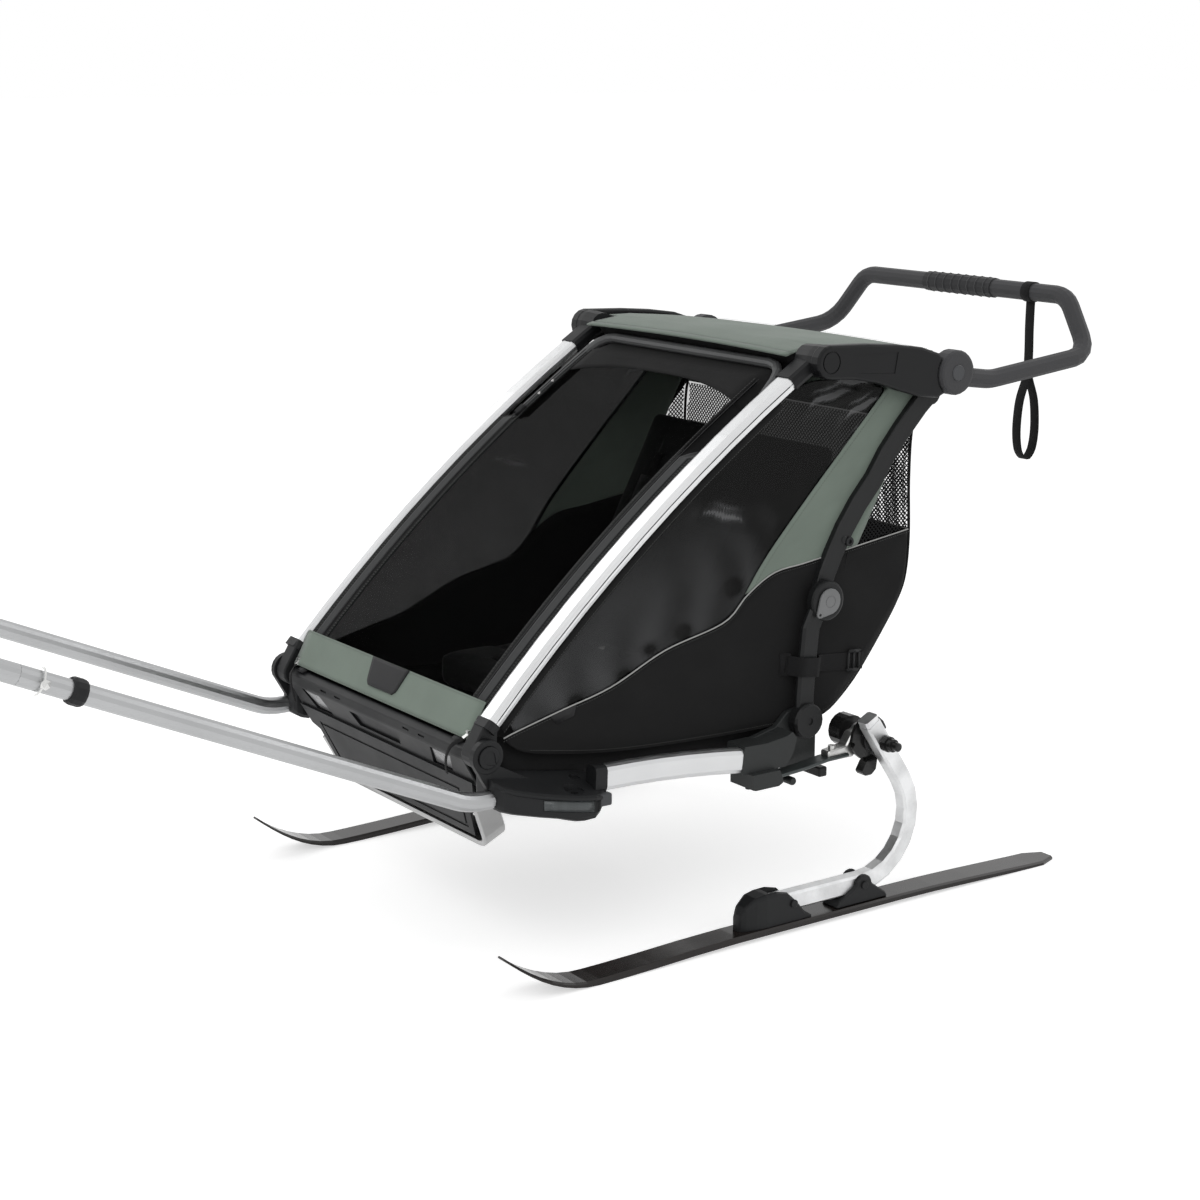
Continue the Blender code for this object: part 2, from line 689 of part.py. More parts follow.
def make_rear_bracket(side):
    """Black bracket that joins the rail, the strut foot and the leaf clamp."""
    name = side_name("rear_bracket", side)
    plate = [rail_end(0.2445), rail_end(0.2880), (0.700, 0.2880), (0.745, 0.2980), (0.768, 0.3180),
             (0.790, 0.3220), (0.826, 0.2900), (0.826, 0.2340), (0.800, 0.2260), (0.767, 0.2260),
             (0.740, 0.2400)]
    made = add_object(name, prism(plate, *mirrored(side, 0.2985, 0.3087)), black_plastic())
    add_bevel(made, 0.0015)
    sleeve = [rail_end(0.2450), rail_end(0.2885), (0.700, 0.2875), (0.738, 0.2920), (0.751, 0.2970),
              (0.760, 0.2860), (0.7520, 0.2620), (0.738, 0.2440)]
    cheek = prism(sleeve, *mirrored(side, 0.3075, 0.3430))
    clamp = [(0.665, 0.2215), (0.671, 0.2195), (0.716, 0.2195), (0.724, 0.2235), (0.724, 0.2300),
             (0.718, 0.2446), (0.665, 0.2446)]
    jaw = prism(clamp, *mirrored(side, 0.2985, 0.3540))
    ear = [(0.722, 0.2190), (0.722, 0.2300), (0.752, 0.2300), (0.772, 0.2200), (0.768, 0.2060),
           (0.758, 0.2060)]
    lug = prism(ear, *mirrored(side, 0.2990, 0.3060))
    roller = turned([(0.3010, 0.0066), (0.3300, 0.0066), (0.3320, 0.0056)], (0.763, 0.2126), 14)
    pin = turned([(0.3060, 0.0100), (0.3110, 0.0100)], STRUT_FOOT, 16)
    for piece in (roller, pin):
        flip(piece, side)
    join(made, helper(name + "_cheek", cheek), helper(name + "_jaw", jaw), helper(name + "_lug", lug))
    join(made, helper(name + "_roller", roller), helper(name + "_pin", pin))
    slot = block((side * LEAF_X - 0.0145, 0.7025, 0.2294), (side * LEAF_X + 0.0145, 0.745, 0.2370))
    cut(made, helper(name + "_leaf_slot", slot))
    for index, y in enumerate((0.676, 0.706)):
        head = rod((side * 0.3300, y, 0.2205), (side * 0.3300, y, 0.2165), 0.0055, 10)
        join(made, helper("%s_bolt_%d" % (name, index), head))
    return made


def make_rear_cross_bar():
    """Square bar across the rear, with two lugs for the brake pedal."""
    low = (-CROSS_BAR_HALF, CROSS_BAR[0] - CROSS_BAR_SIZE / 2, CROSS_BAR[1] - CROSS_BAR_SIZE / 2)
    high = (CROSS_BAR_HALF, CROSS_BAR[0] + CROSS_BAR_SIZE / 2, CROSS_BAR[1] + CROSS_BAR_SIZE / 2)
    bar = block(low, high)
    made = add_object("rear_cross_bar", bar, black_plastic())
    add_bevel(made, 0.0025)
    for side in (-1, 1):
        outline = [(0.832, 0.2090), (0.832, 0.2220)] + arc(BRAKE_PIVOT, 0.008, 110, -110, 6)
        lug = prism(outline, *mirrored(side, 0.0455, 0.0515))
        join(made, helper(side_name("brake_lug", side), lug))
    return made


def make_brake_pedal():
    """Foot pedal of the parking brake, turning on a pin behind the cross bar."""
    pad = [(0.873, 0.2260), (0.915, 0.2360), (0.922, 0.2325), (0.917, 0.2285), (0.873, 0.2180)]
    outline = arc(BRAKE_PIVOT, 0.0075, 250, 90, 8) + pad
    made = add_object("brake_pedal", prism(outline, -0.0448, 0.0448), grey_plastic(), (0, *BRAKE_PIVOT))
    add_bevel(made, 0.0012, 1)
    return made


def make_floor_pan():
    """Shallow fabric floor between the rails."""
    section = [(-0.2825, 0.286), (-0.2800, 0.258), (0.2800, 0.258), (0.2825, 0.286), (0.2800, 0.286),
               (0.2775, 0.2615), (-0.2775, 0.2615), (-0.2800, 0.286)]
    return add_object("floor_pan", prism(section, 0.2490, 0.7900, "Y"), black_fabric())


def arm_point(y, side):
    """Point on the rising straight part of the towing arm."""
    share = (ARM_BEND_Y - y) / (ARM_BEND_Y - ARM_TIP_Y)
    x = ARM_X_REAR + (ARM_X_FRONT - ARM_X_REAR) * share
    return Vector((side * x, y, ARM_HEIGHT + (ARM_BEND_Y - y) * ARM_SLOPE))


def arm_direction(side):
    """Direction of the towing arm towards its tip."""
    return (arm_point(ARM_TIP_Y, side) - arm_point(ARM_SPLIT_Y, side)).normalized()


def make_arm_rear(side):
    """Rear half of the arm: straight in its socket, bent up, bored for the front half."""
    name = side_name("arm_rear", side)
    start = (side * ARM_X_REAR, ARM_SOCKET_END, ARM_HEIGHT)
    bend = (side * ARM_X_REAR, ARM_BEND_Y, ARM_HEIGHT)
    path = rounded_path([start, bend, arm_point(ARM_SPLIT_Y, side)], [0.11], 5)
    made = add_object(name, sweep(path, round_section(ARM_RADIUS, 14)), satin_aluminium())
    split = arm_point(ARM_SPLIT_Y, side)
    ahead = arm_direction(side)
    bore = rod(split - ahead * (SPIGOT_LENGTH + 0.002), split + ahead * 0.01, SPIGOT_RADIUS + GAP)
    cut(made, helper(name + "_bore", bore))
    centre = arm_point(ARM_PIN_Y, side)
    hole = rod(centre - Vector((0.03, 0, 0)), centre + Vector((0.03, 0, 0)), PIN_RADIUS + GAP, 10)
    cut(made, helper(name + "_pin_hole", hole))
    return made


def make_arm_front(side):
    """Front half of the arm: a spigot, the long tube and a flat eye for the belt."""
    name = side_name("arm_front", side)
    ahead = arm_direction(side)
    split = arm_point(ARM_SPLIT_Y, side) + ahead * GAP
    tip = arm_point(ARM_TIP_Y, side)
    made = add_object(name, rod(split, tip, ARM_RADIUS, 14), satin_aluminium())
    spigot = rod(split - ahead * SPIGOT_LENGTH, split + ahead * 0.01, SPIGOT_RADIUS)
    join(made, helper(name + "_spigot", spigot))
    eye_path = [tip - ahead * 0.012, tip + ahead * 0.034]
    eye = sweep(eye_path, rounded_section(0.006, 0.024, 0.002, 1))
    join(made, helper(name + "_eye", eye))
    eye_centre = tip + ahead * 0.019
    opening = rod(eye_centre - Vector((0.02, 0, 0)), eye_centre + Vector((0.02, 0, 0)), 0.007, 14)
    centre = arm_point(ARM_PIN_Y, side)
    hole = rod(centre - Vector((0.03, 0, 0)), centre + Vector((0.03, 0, 0)), PIN_RADIUS + GAP, 10)
    cut(made, helper(name + "_opening", opening), helper(name + "_pin_hole", hole))
    return made


def make_arm_clamp(side):
    """Plastic ring round the arm that keeps the pin's leash."""
    ahead = arm_direction(side)
    centre = arm_point(ARM_CLAMP_Y, side)
    hint = Vector((1, 0, 0))
    lift = hint.cross(ahead).normalized()
    across = ahead.cross(lift).normalized()
    profile = [(-0.010, 0.0144), (-0.010, 0.0172), (-0.006, 0.0186), (0.006, 0.0186), (0.010, 0.0172),
               (0.010, 0.0144)]
    rings = []
    for distance, radius in profile:
        circle = round_section(radius, 14)
        rings.append([centre + ahead * distance + across * u + lift * v for u, v in circle])
    made = add_object(side_name("arm_clamp", side), skin_rings(rings, closed=True), black_plastic())
    return made


def make_arm_pin(side):
    """Locking pin with a ball head and a half ring that hugs the arm."""
    name = side_name("arm_pin", side)
    centre = arm_point(ARM_PIN_Y, side)
    out = Vector((side, 0, 0))
    pin = rod(centre - out * 0.0175, centre + out * 0.019, PIN_RADIUS, 10)
    made = add_object(name, pin, cast_metal(), centre)
    ball = bmesh.new()
    place = Matrix.Translation(centre + out * 0.0225)
    bmesh.ops.create_icosphere(ball, subdivisions=1, radius=0.0074, matrix=place)
    ahead = arm_direction(side)
    lift = Vector((1, 0, 0)).cross(ahead).normalized()
    turns = [math.radians(-98 + 196 * step / 10) for step in range(11)]
    wire_path = [centre + out * 0.0182 * math.cos(turn) + lift * 0.0182 * math.sin(turn) for turn in turns]
    wire = sweep(wire_path, round_section(0.0013, 6), ahead)
    join(made, helper(name + "_ball", ball), helper(name + "_wire", wire))
    return made


def strut_section(side):
    """Flat outer face with a lower band along the rear edge."""
    half = (UPPER_STRUT_X[1] - UPPER_STRUT_X[0]) / 2
    outline = [(half - 0.0015, -0.0180), (half, -0.0165), (half, 0.0070), (half - 0.0030, 0.0090),
               (half - 0.0030, 0.0165), (half - 0.0045, 0.0180), (-half, 0.0180), (-half, -0.0180)]
    return [(side * u, v) for u, v in outline]


def make_upper_strut(side):
    """Bowed strut from the top cover to the knee."""
    name = side_name("upper_strut", side)
    line = [STRUT_HEAD, (1.030, 0.775), (0.995, 0.739), (0.964, 0.703), (0.939, 0.666), (0.907, 0.630),
            (0.881, 0.594), (0.860, 0.557), (0.8445, 0.525), KNEE]
    middle = 0.5 * (UPPER_STRUT_X[0] + UPPER_STRUT_X[1])
    bar = sweep(flat_path(line, side * middle), strut_section(side))
    made = add_object(name, bar, black_plastic(), (side * middle, *STRUT_HEAD))
    for label, centre, radius in (("head", STRUT_HEAD, 0.0180), ("knee", KNEE, 0.0180)):
        disc = prism(arc(centre, radius, 0, 337.5, 15), *mirrored(side, *UPPER_STRUT_X))
        join(made, helper(name + "_" + label, disc))
    boss = prism(arc((0.876, 0.578), 0.0100, 0, 330, 11), *mirrored(side, UPPER_STRUT_X[0], 0.3075))
    bolt = turned([(0.3060, 0.0058), (0.3092, 0.0058), (0.3100, 0.0048)], (0.876, 0.578), 12)
    flip(bolt, side)
    join(made, helper(name + "_boss", boss), helper(name + "_bolt", bolt))
    return made


def make_lower_strut(side):
    """Strut from the knee to the rear bracket, with the round knee housing."""
    name = side_name("lower_strut", side)
    middle = 0.5 * (LOWER_STRUT_X[0] + LOWER_STRUT_X[1])
    thickness = LOWER_STRUT_X[1] - LOWER_STRUT_X[0]
    line = [KNEE, (0.815, 0.468), (0.805, 0.448), (0.799, 0.390), (0.7955, 0.340), STRUT_FOOT]
    bar = sweep(flat_path(line, side * middle), rounded_section(thickness, 0.034, 0.004, 1))
    made = add_object(name, bar, black_plastic(), (side * middle, *STRUT_FOOT))
    drum = [(0.3090, 0.0300), (0.3110, 0.0320), (0.3210, 0.0320), (0.3240, 0.0305), (0.3250, 0.0280)]
    knee = turned(drum, KNEE, 24)
    foot = turned([(0.3090, 0.0260), (0.3110, 0.0280), (0.3260, 0.0280), (0.3300, 0.0255)], STRUT_FOOT, 20)
    screw = turned([(0.3280, 0.0060), (0.3350, 0.0060)], STRUT_FOOT, 12)
    socket = turned([(0.3080, 0.0103), (0.3113, 0.0103)], STRUT_FOOT, 16)
    for piece in (knee, foot, screw, socket):
        flip(piece, side)
    join(made, helper(name + "_knee", knee), helper(name + "_foot", foot))
    cut(made, helper(name + "_screw", screw), helper(name + "_socket", socket))
    return made


def make_fold_lever(side):
    """Teardrop lever on the knee that frees the fold."""
    name = side_name("fold_lever", side)
    tail = (KNEE[0] - 0.0200, KNEE[1] - 0.0190)
    heading = math.degrees(math.atan2(tail[1] - KNEE[1], tail[0] - KNEE[0]))
    body = arc(KNEE, 0.0205, heading + 62, heading + 298, 12)
    end = arc(tail, 0.0055, heading - 70, heading + 70, 4)
    origin = (side * LEVER_X[0], *KNEE)
    made = add_object(name, prism(body + end, *mirrored(side, *LEVER_X)), cast_metal(), origin)
    add_bevel(made, 0.0008, 1, 60)
    eye = prism(arc(tail, 0.0026, 0, 315, 7), *mirrored(side, 0.320, 0.335))
    groove = turned_ring([(LEVER_X[1] - 0.0006, 0.0085), (LEVER_X[1] - 0.0006, 0.0098), (0.3340, 0.0098),
                          (0.3340, 0.0085)], KNEE, 14)
    flip(groove, side)
    cut(made, helper(name + "_eye", eye), helper(name + "_groove", groove))
    return made


def bar_corners():
    """Corner points of one half of the handlebar, from the hub to the middle."""
    return [(BAR_SIDE_X, HANDLE_PIVOT[0] + 0.012, HANDLE_PIVOT[1] - 0.0080), (BAR_SIDE_X, 1.165, 0.8070),
            (BAR_SIDE_X, 1.3860, BAR_LOW), (BAR_TOP_X, BAR_REAR_Y - 0.002, BAR_HIGH)]


def make_handlebar():
    """Bent bar with a round hub at each end."""
    half = bar_corners()
    corners = half + [(-x, y, z) for x, y, z in reversed(half)]
    path = rounded_path(corners, [0.10, 0.045, 0.045, 0.045, 0.045, 0.10], 4)
    bar = sweep(path, round_section(BAR_RADIUS, 12))
    made = add_object("handlebar", bar, foam_grey(), (0, *HANDLE_PIVOT))
    for side in (-1, 1):
        neck = [(HUB_X[0], 0.0240), (HUB_X[0] + 0.0010, 0.0260), (0.3090, 0.0265), (0.3095, HUB_RADIUS)]
        face = [(0.3300, HUB_RADIUS), (0.3335, HUB_RADIUS - 0.002), (HUB_X[1], HUB_RADIUS - 0.006)]
        hub = turned(neck + face, HANDLE_PIVOT, 24)
        well = turned([(0.3260, 0.0130), (0.3450, 0.0130)], HANDLE_PIVOT, 18)
        flip(hub, side)
        flip(well, side)
        join(made, helper(side_name("handlebar_hub", side), hub))
        cut(made, helper(side_name("handlebar_well", side), well))
    return made


def make_handlebar_grip():
    """Ribbed sleeve in the middle of the bar."""
    profile = [(-GRIP_HALF, 0.0161), (-GRIP_HALF, 0.0172)]
    for rib in range(GRIP_RIBS):
        x = -GRIP_HALF + 0.014 + (2 * GRIP_HALF - 0.028) * rib / (GRIP_RIBS - 1)
        profile += [(x - 0.0030, 0.0170), (x, 0.0182), (x + 0.0030, 0.0170)]
    profile += [(GRIP_HALF, 0.0172), (GRIP_HALF, 0.0161)]
    centre = (BAR_REAR_Y - 0.002, BAR_HIGH)
    return add_object("handlebar_grip", turned_ring(profile, centre, 12), gloss_black(), (0, *centre))


def make_handlebar_button(side):
    """Round button in the bar's hub that frees the tilt."""
    button = turned([(BUTTON_SEAT_X, 0.0126), (0.3350, 0.0126), (0.3362, 0.0112)], HANDLE_PIVOT, 18)
    flip(button, side)
    origin = (side * BUTTON_SEAT_X, *HANDLE_PIVOT)
    return add_object(side_name("handlebar_button", side), button, grey_plastic(), origin)


def make_wrist_strap():
    """Webbing loop that hangs from the bar and opens to a hand loop at its end."""
    bar = (BAR_REAR_Y - 0.002, BAR_HIGH)
    wrap = BAR_RADIUS + 0.0016
    left_side = [(bar[0] - 0.0014, bar[1] - 0.030), (bar[0] - 0.0014, bar[1] - 0.105),
                 (bar[0] - 0.0030, bar[1] - 0.140), (bar[0] - 0.0170, bar[1] - 0.185),
                 (bar[0] - 0.0215, bar[1] - 0.232), (bar[0] - 0.0170, bar[1] - 0.268),
                 (bar[0] - 0.0060, bar[1] - 0.285)]
    right_side = [(2 * bar[0] - y, z) for y, z in reversed(left_side)]
    over = arc(bar, wrap, -62, 242, 12)
    path = flat_path(left_side + right_side + over, STRAP_X)
    web = [(-0.010, -0.0009), (0.010, -0.0009), (0.010, 0.0009), (-0.010, 0.0009)]
    strap = sweep(path, web, closed=True)
    return add_object("wrist_strap", strap, black_fabric(), (STRAP_X, *bar))


def leaf_path():
    """Middle line of the leaf behind its clamp."""
    return [(0.7245, 0.2332), (0.770, 0.2362), (0.818, 0.2420), (0.859, 0.2432)]


def make_leaf_spring(side):
    """Flat spring that carries the hub behind its clamp."""
    points = [(0.7035, 0.2332)] + leaf_path()
    leaf = sweep(flat_path(points, side * LEAF_X), rounded_section(0.028, 0.0050, 0.0015, 1))
    return add_object(side_name("leaf_spring", side), leaf, spring_steel(), (side * LEAF_X, *LEAF_ROOT))


def make_axle_block(side):
    """Cast block bolted to the leaf's end; its arm holds the hub."""
    name = side_name("axle_block", side)
    outline = [(0.8220, 0.2370), (0.8220, 0.2530), (0.8580, 0.2580), (0.8700, 0.2760)]
    outline += arc(HUB_AXIS, 0.0190, 145, -115, 10)
    outline += [(0.8720, 0.2370)]
    origin = (side * LEAF_X, *LEAF_ROOT)
    made = add_object(name, prism(outline, *mirrored(side, 0.3252, 0.3456)), cast_metal(), origin)
    add_bevel(made, 0.002, 1)
    bolt = rod((side * 0.336, 0.836, 0.248), (side * 0.336, 0.836, 0.2600), 0.006, 12)
    join(made, helper(name + "_bolt", bolt))
    bore = turned([(0.30, 0.0150), (0.36, 0.0150)], HUB_AXIS, 20)
    flip(bore, side)
    cut(made, helper(name + "_bore", bore))
    gap_path = flat_path(leaf_path()[1:] + [(0.8625, 0.2433)], side * LEAF_X)
    seat = sweep(gap_path, rounded_section(0.0286, 0.0056, 0.0005, 1))
    cut(made, helper(name + "_seat", seat))
    return made


def make_hub(side):
    """Drum, notched brake disc, caliper lug and axle with its nut, turned about the hub axis."""
    name = side_name("hub", side)
    profile = [(0.2850, 0.0235), (0.2880, 0.0265), (0.3140, 0.0265), (0.3146, 0.0145), (0.3456, 0.0145),
               (0.3460, 0.0280), (0.3510, 0.0360), (0.3570, 0.0360), (0.3600, 0.0200), (0.3668, 0.0200),
               (0.3670, 0.0062), (0.3930, 0.0062), (0.3935, 0.0125), (0.4040, 0.0125), (0.4042, 0.0105),
               (0.4130, 0.0105), (0.4135, 0.0075), (0.4240, 0.0070), (0.4260, 0.0045)]
    drum = turned(profile, HUB_AXIS, 18)
    flip(drum, side)
    made = add_object(name, drum, gloss_black(), (side * 0.33, *HUB_AXIS))
    for index in range(6):
        turn = math.radians(60 * index + 10)
        centre = (HUB_AXIS[0] + 0.0360 * math.cos(turn), HUB_AXIS[1] + 0.0360 * math.sin(turn))
        notch = prism(arc(centre, 0.0050, 0, 288, 4), *mirrored(side, 0.3502, 0.3620))
        cut(made, helper("%s_notch_%d" % (name, index), notch))
    lug = [(0.8860, 0.2320), (0.8760, 0.2150), (0.8820, 0.2080), (0.8960, 0.2080), (0.9050, 0.2160),
           (0.9080, 0.2360)]
    caliper = helper(name + "_lug", prism(lug, *mirrored(side, 0.3450, 0.3655)))
    add_bevel(caliper, 0.002, 1)
    join(made, caliper)
    return made


def leg_path():
    """Middle line of the ski leg in the side view."""
    drop = (LEG_TOP[1] - LEG_LOW_Z) / math.sin(LEG_LEAN)
    corner = (LEG_TOP[0] + drop * math.cos(LEG_LEAN), LEG_LOW_Z)
    return [(0, *LEG_TOP), (0, *corner), (0, LEG_LOW_FRONT, LEG_LOW_Z)]


def make_ski_leg(side):
    """Square tube from the hub down, round to the front and along the ski."""
    name = side_name("ski_leg", side)
    path = [point + Vector((side * SKI_X, 0, 0)) for point in rounded_path(leg_path(), [LEG_BEND], 8)]
    leg = sweep(path, rounded_section(*LEG_SIZE, 0.0035, 1))
    made = add_object(name, leg, satin_aluminium(), (side * SKI_X, *LEAF_ROOT))
    cap_line = [(LEG_TOP[0] - 0.0047, LEG_TOP[1] + 0.0088), (LEG_TOP[0] + 0.001, LEG_TOP[1] - 0.002)]
    cap_path = flat_path(cap_line, side * SKI_X)
    cap = sweep(cap_path, rounded_section(LEG_SIZE[0] - 0.002, LEG_SIZE[1] - 0.002, 0.0030, 1))
    join(made, helper(name + "_cap", cap))
    hole = turned([(0.36, 0.0066), (0.40, 0.0066)], HUB_AXIS, 16)
    flip(hole, side)
    cut(made, helper(name + "_axle_hole", hole))
    return made


def ski_half_width(y):
    """Half width of the ski in plan: rounded tip, slight waist, tail clipped at both corners."""
    tip = min(1.0, (y - SKI_TIP_Y) / 0.085)
    waist = 0.0022 * math.sin(math.pi * (y - SKI_TIP_Y) / (SKI_TAIL_Y - SKI_TIP_Y))
    nose = 0.0075 + (SKI_WIDTH / 2 - 0.0075) * math.sqrt(max(0.0, 1 - (1 - tip) ** 2))
    tail = max(0.0, (y - (SKI_TAIL_Y - SKI_TAIL_CLIP)) / SKI_TAIL_CLIP)
    return nose - waist - 0.0125 * tail


def ski_camber(y):
    """Lift of the ski's middle above the floor."""
    rise = min(1.0, max(0.0, (y - SKI_REST_Y[0]) / (SKI_CAMBER_FLAT[0] - SKI_REST_Y[0])))
    fall = min(1.0, max(0.0, (SKI_REST_Y[1] - y) / (SKI_REST_Y[1] - SKI_CAMBER_FLAT[1])))
    share = min(rise, fall)
    return SKI_CAMBER * share * share * (3 - 2 * share)


def make_ski(side):
    """Ski with a raised tip, a slight waist and camber."""
    rings = []
    front = [SKI_TIP_Y + (SKI_LIFT_Y - SKI_TIP_Y) * (step / 9) ** 1.3 for step in range(10)]
    rest = [0.38, 0.44, 0.52, 0.60, 0.75, 0.93, 1.00, 1.08, 1.16, 1.215]
    tail = [SKI_TAIL_Y - SKI_TAIL_CLIP, SKI_TAIL_Y]
    for y in front + rest + tail:
        lift = SKI_TIP_RISE * (max(0.0, SKI_LIFT_Y - y) / (SKI_LIFT_Y - SKI_TIP_Y)) ** 2 + ski_camber(y)
        end = min(1.0, 0.45 + (y - SKI_TIP_Y) / 0.30, 0.62 + (SKI_TAIL_Y - y) / 0.40)
        top = lift + SKI_THICKNESS * end
        half = ski_half_width(y)
        shape = [(half, lift), (half, top - 0.0025), (half - 0.0035, top), (-half + 0.0035, top),
                 (-half, top - 0.0025), (-half, lift)]
        rings.append([(side * SKI_X + x, y, z) for x, z in shape])
    return add_object(side_name("ski", side), skin_rings(rings), gloss_black(), (side * SKI_X, *LEAF_ROOT))


def leg_slot(side, front, rear):
    """Slot in a shoe for the straight part of the leg."""
    half = LEG_SIZE[0] / 2 + GAP
    floor = LEG_LOW_Z - LEG_SIZE[1] / 2 - GAP
    return block((side * SKI_X - half, front, floor), (side * SKI_X + half, rear, 0.09))


def shoe_bolt(side, y):
    """Bolt head on the outer face of a shoe."""
    bolt = turned([(0.3985, 0.0065), (0.4020, 0.0065), (0.4024, 0.0055)], (y, LEG_LOW_Z), 12)
    flip(bolt, side)
    return bolt


def make_front_shoe(side):
    """Streamlined front block that takes the end of the leg; it narrows to a round tip."""
    name = side_name("front_shoe", side)
    low = SKI_CAMBER + SKI_THICKNESS + GAP
    rings = []
    for y, half, high in ((0.6140, 0.0060, 0.0260), (0.6170, 0.0100, 0.0400), (0.6240, 0.0140, 0.0520),
                          (0.6420, 0.0180, 0.0645), (0.6600, 0.0195, 0.0675), (0.6800, 0.0195, 0.0680),
                          (0.7030, 0.0195, 0.0620), (0.7220, 0.0195, 0.0440), (0.7350, 0.0195, 0.0280),
                          (0.7480, 0.0190, 0.0185)):
        soft = min(0.006, (high - low) / 2)
        shoulder = (half - soft * 0.35, high - soft * 0.3)
        flank = [(half, low), (half, high - soft), shoulder, (half - soft, high)]
        ring = flank + [(-x, z) for x, z in reversed(flank)]
        rings.append([(side * SKI_X + x, y, z) for x, z in ring])
    made = add_object(name, skin_rings(rings), black_plastic(), (side * SKI_X, *LEAF_ROOT))
    cut(made, helper(name + "_slot", leg_slot(side, LEG_LOW_FRONT - GAP, 0.78)))
    join(made, helper(name + "_bolt", shoe_bolt(side, 0.712)))
    return made


def make_rear_shoe(side):
    """Two-eared block under the rear of the leg's straight part."""
    name = side_name("rear_shoe", side)
    top = SKI_CAMBER + SKI_THICKNESS + GAP
    outline = [(0.8000, top), (0.9050, top), (0.9000, 0.0240)] + arc((0.855, LEG_LOW_Z), 0.0165, 0, 180, 8)
    outline += [(0.8060, 0.0240)]
    origin = (side * SKI_X, *LEAF_ROOT)
    made = add_object(name, prism(outline, *mirrored(side, 0.3605, 0.3995)), black_plastic(), origin)
    add_bevel(made, 0.002, 1)
    cut(made, helper(name + "_slot", leg_slot(side, 0.78, 0.95)))
    join(made, helper(name + "_bolt", shoe_bolt(side, 0.855)))
    return made


def rear_profile():
    """Outer line of the rear cover in the side view, from the roof to the floor."""
    return [(1.0600, 0.8480), (1.0450, 0.8000), (1.0240, 0.7400), (1.0200, 0.6600), (1.0230, 0.5650),
            (1.0170, 0.5000), (0.9990, 0.4600), (0.9700, 0.4180), (0.9410, 0.3800), (0.9180, 0.3520),
            (0.8920, 0.3270), (0.8660, 0.3070), (0.8450, 0.2980)]


def make_side_panel(side):
    """Side cloth with its window, from the front tube to the rear cover."""
    front = tube_line(0.075, 0.700, 12, -TUBE_DEPTH / 2 - 0.003)
    rear = [(y - 0.006, z) for y, z in rear_profile()[1:11]]
    top = [(0.7900, 0.8080), (0.8300, 0.8260), (0.9500, 0.8100)]
    bottom = [(0.8000, 0.2960), (0.6200, 0.2940), (0.4400, 0.3080), (0.3000, 0.3330), (0.2620, 0.3560)]
    cloth = prism(front + top + rear + bottom, *mirrored(side, *PANEL_X))
    return add_object(side_name("side_panel", side), cloth, black_fabric())


def make_rear_cover():
    """Rear cloth: upper net and the hanging luggage bag in one sheet."""
    outer = rear_profile()
    inner = []
    for index, (y, z) in enumerate(outer):
        before = outer[max(0, index - 1)]
        after = outer[min(len(outer) - 1, index + 1)]
        along = Vector((after[0] - before[0], after[1] - before[1])).normalized()
        inner.append((y + along.y * REAR_CLOTH, z - along.x * REAR_CLOTH))
    sheet = prism(outer + list(reversed(inner)), -REAR_HALF, REAR_HALF)
    return add_object("rear_cover", sheet, black_fabric())


def roof_rows():
    """Height and half width of the roof cloth along y."""
    front = ROOF_FRONT_HALF
    rear = ROOF_HALF
    narrow = [(0.7900, 0.8660), (0.8100, 0.8710), (0.8450, 0.8755), (0.8520, 0.8757)]
    wide = [(0.8560, 0.8758), (0.9000, 0.8755), (0.9500, 0.8710), (0.9900, 0.8670), (1.0300, 0.8620),
            (1.0620, 0.8570)]
    return [(y, z, front) for y, z in narrow] + [(y, z, rear) for y, z in wide]


def make_roof():
    """Roof cloth between the top covers, narrower where it passes between their knuckles."""
    rings = []
    for y, edge, half in roof_rows():
        upper, lower = [], []
        for index in range(9):
            x = half * (index / 4 - 1)
            z = edge + ROOF_CROWN * (1 - (x / half) ** 2)
            upper.append((x, y, z))
            lower.append((x, y, z - ROOF_CLOTH))
        rings.append(upper + list(reversed(lower)))
    return add_object("roof", skin_rings(rings), green_fabric(), (0, *FRONT_PIVOT))


def make_windshield():
    """Front window sheet with its cloth strip, held between the front tubes."""
    strip = [(0.2195, 0.3565), (0.2262, 0.3690)]
    path = flat_path(strip + tube_line(0.040, 0.732, 14, 0.002), 0.0)
    half = WINDSHIELD_HALF
    sheet = sweep(path, [(-half, -0.001), (half, -0.001), (half, 0.001), (-half, 0.001)])
    return add_object("windshield", sheet, tinted_film(), (0, *FRONT_PIVOT))


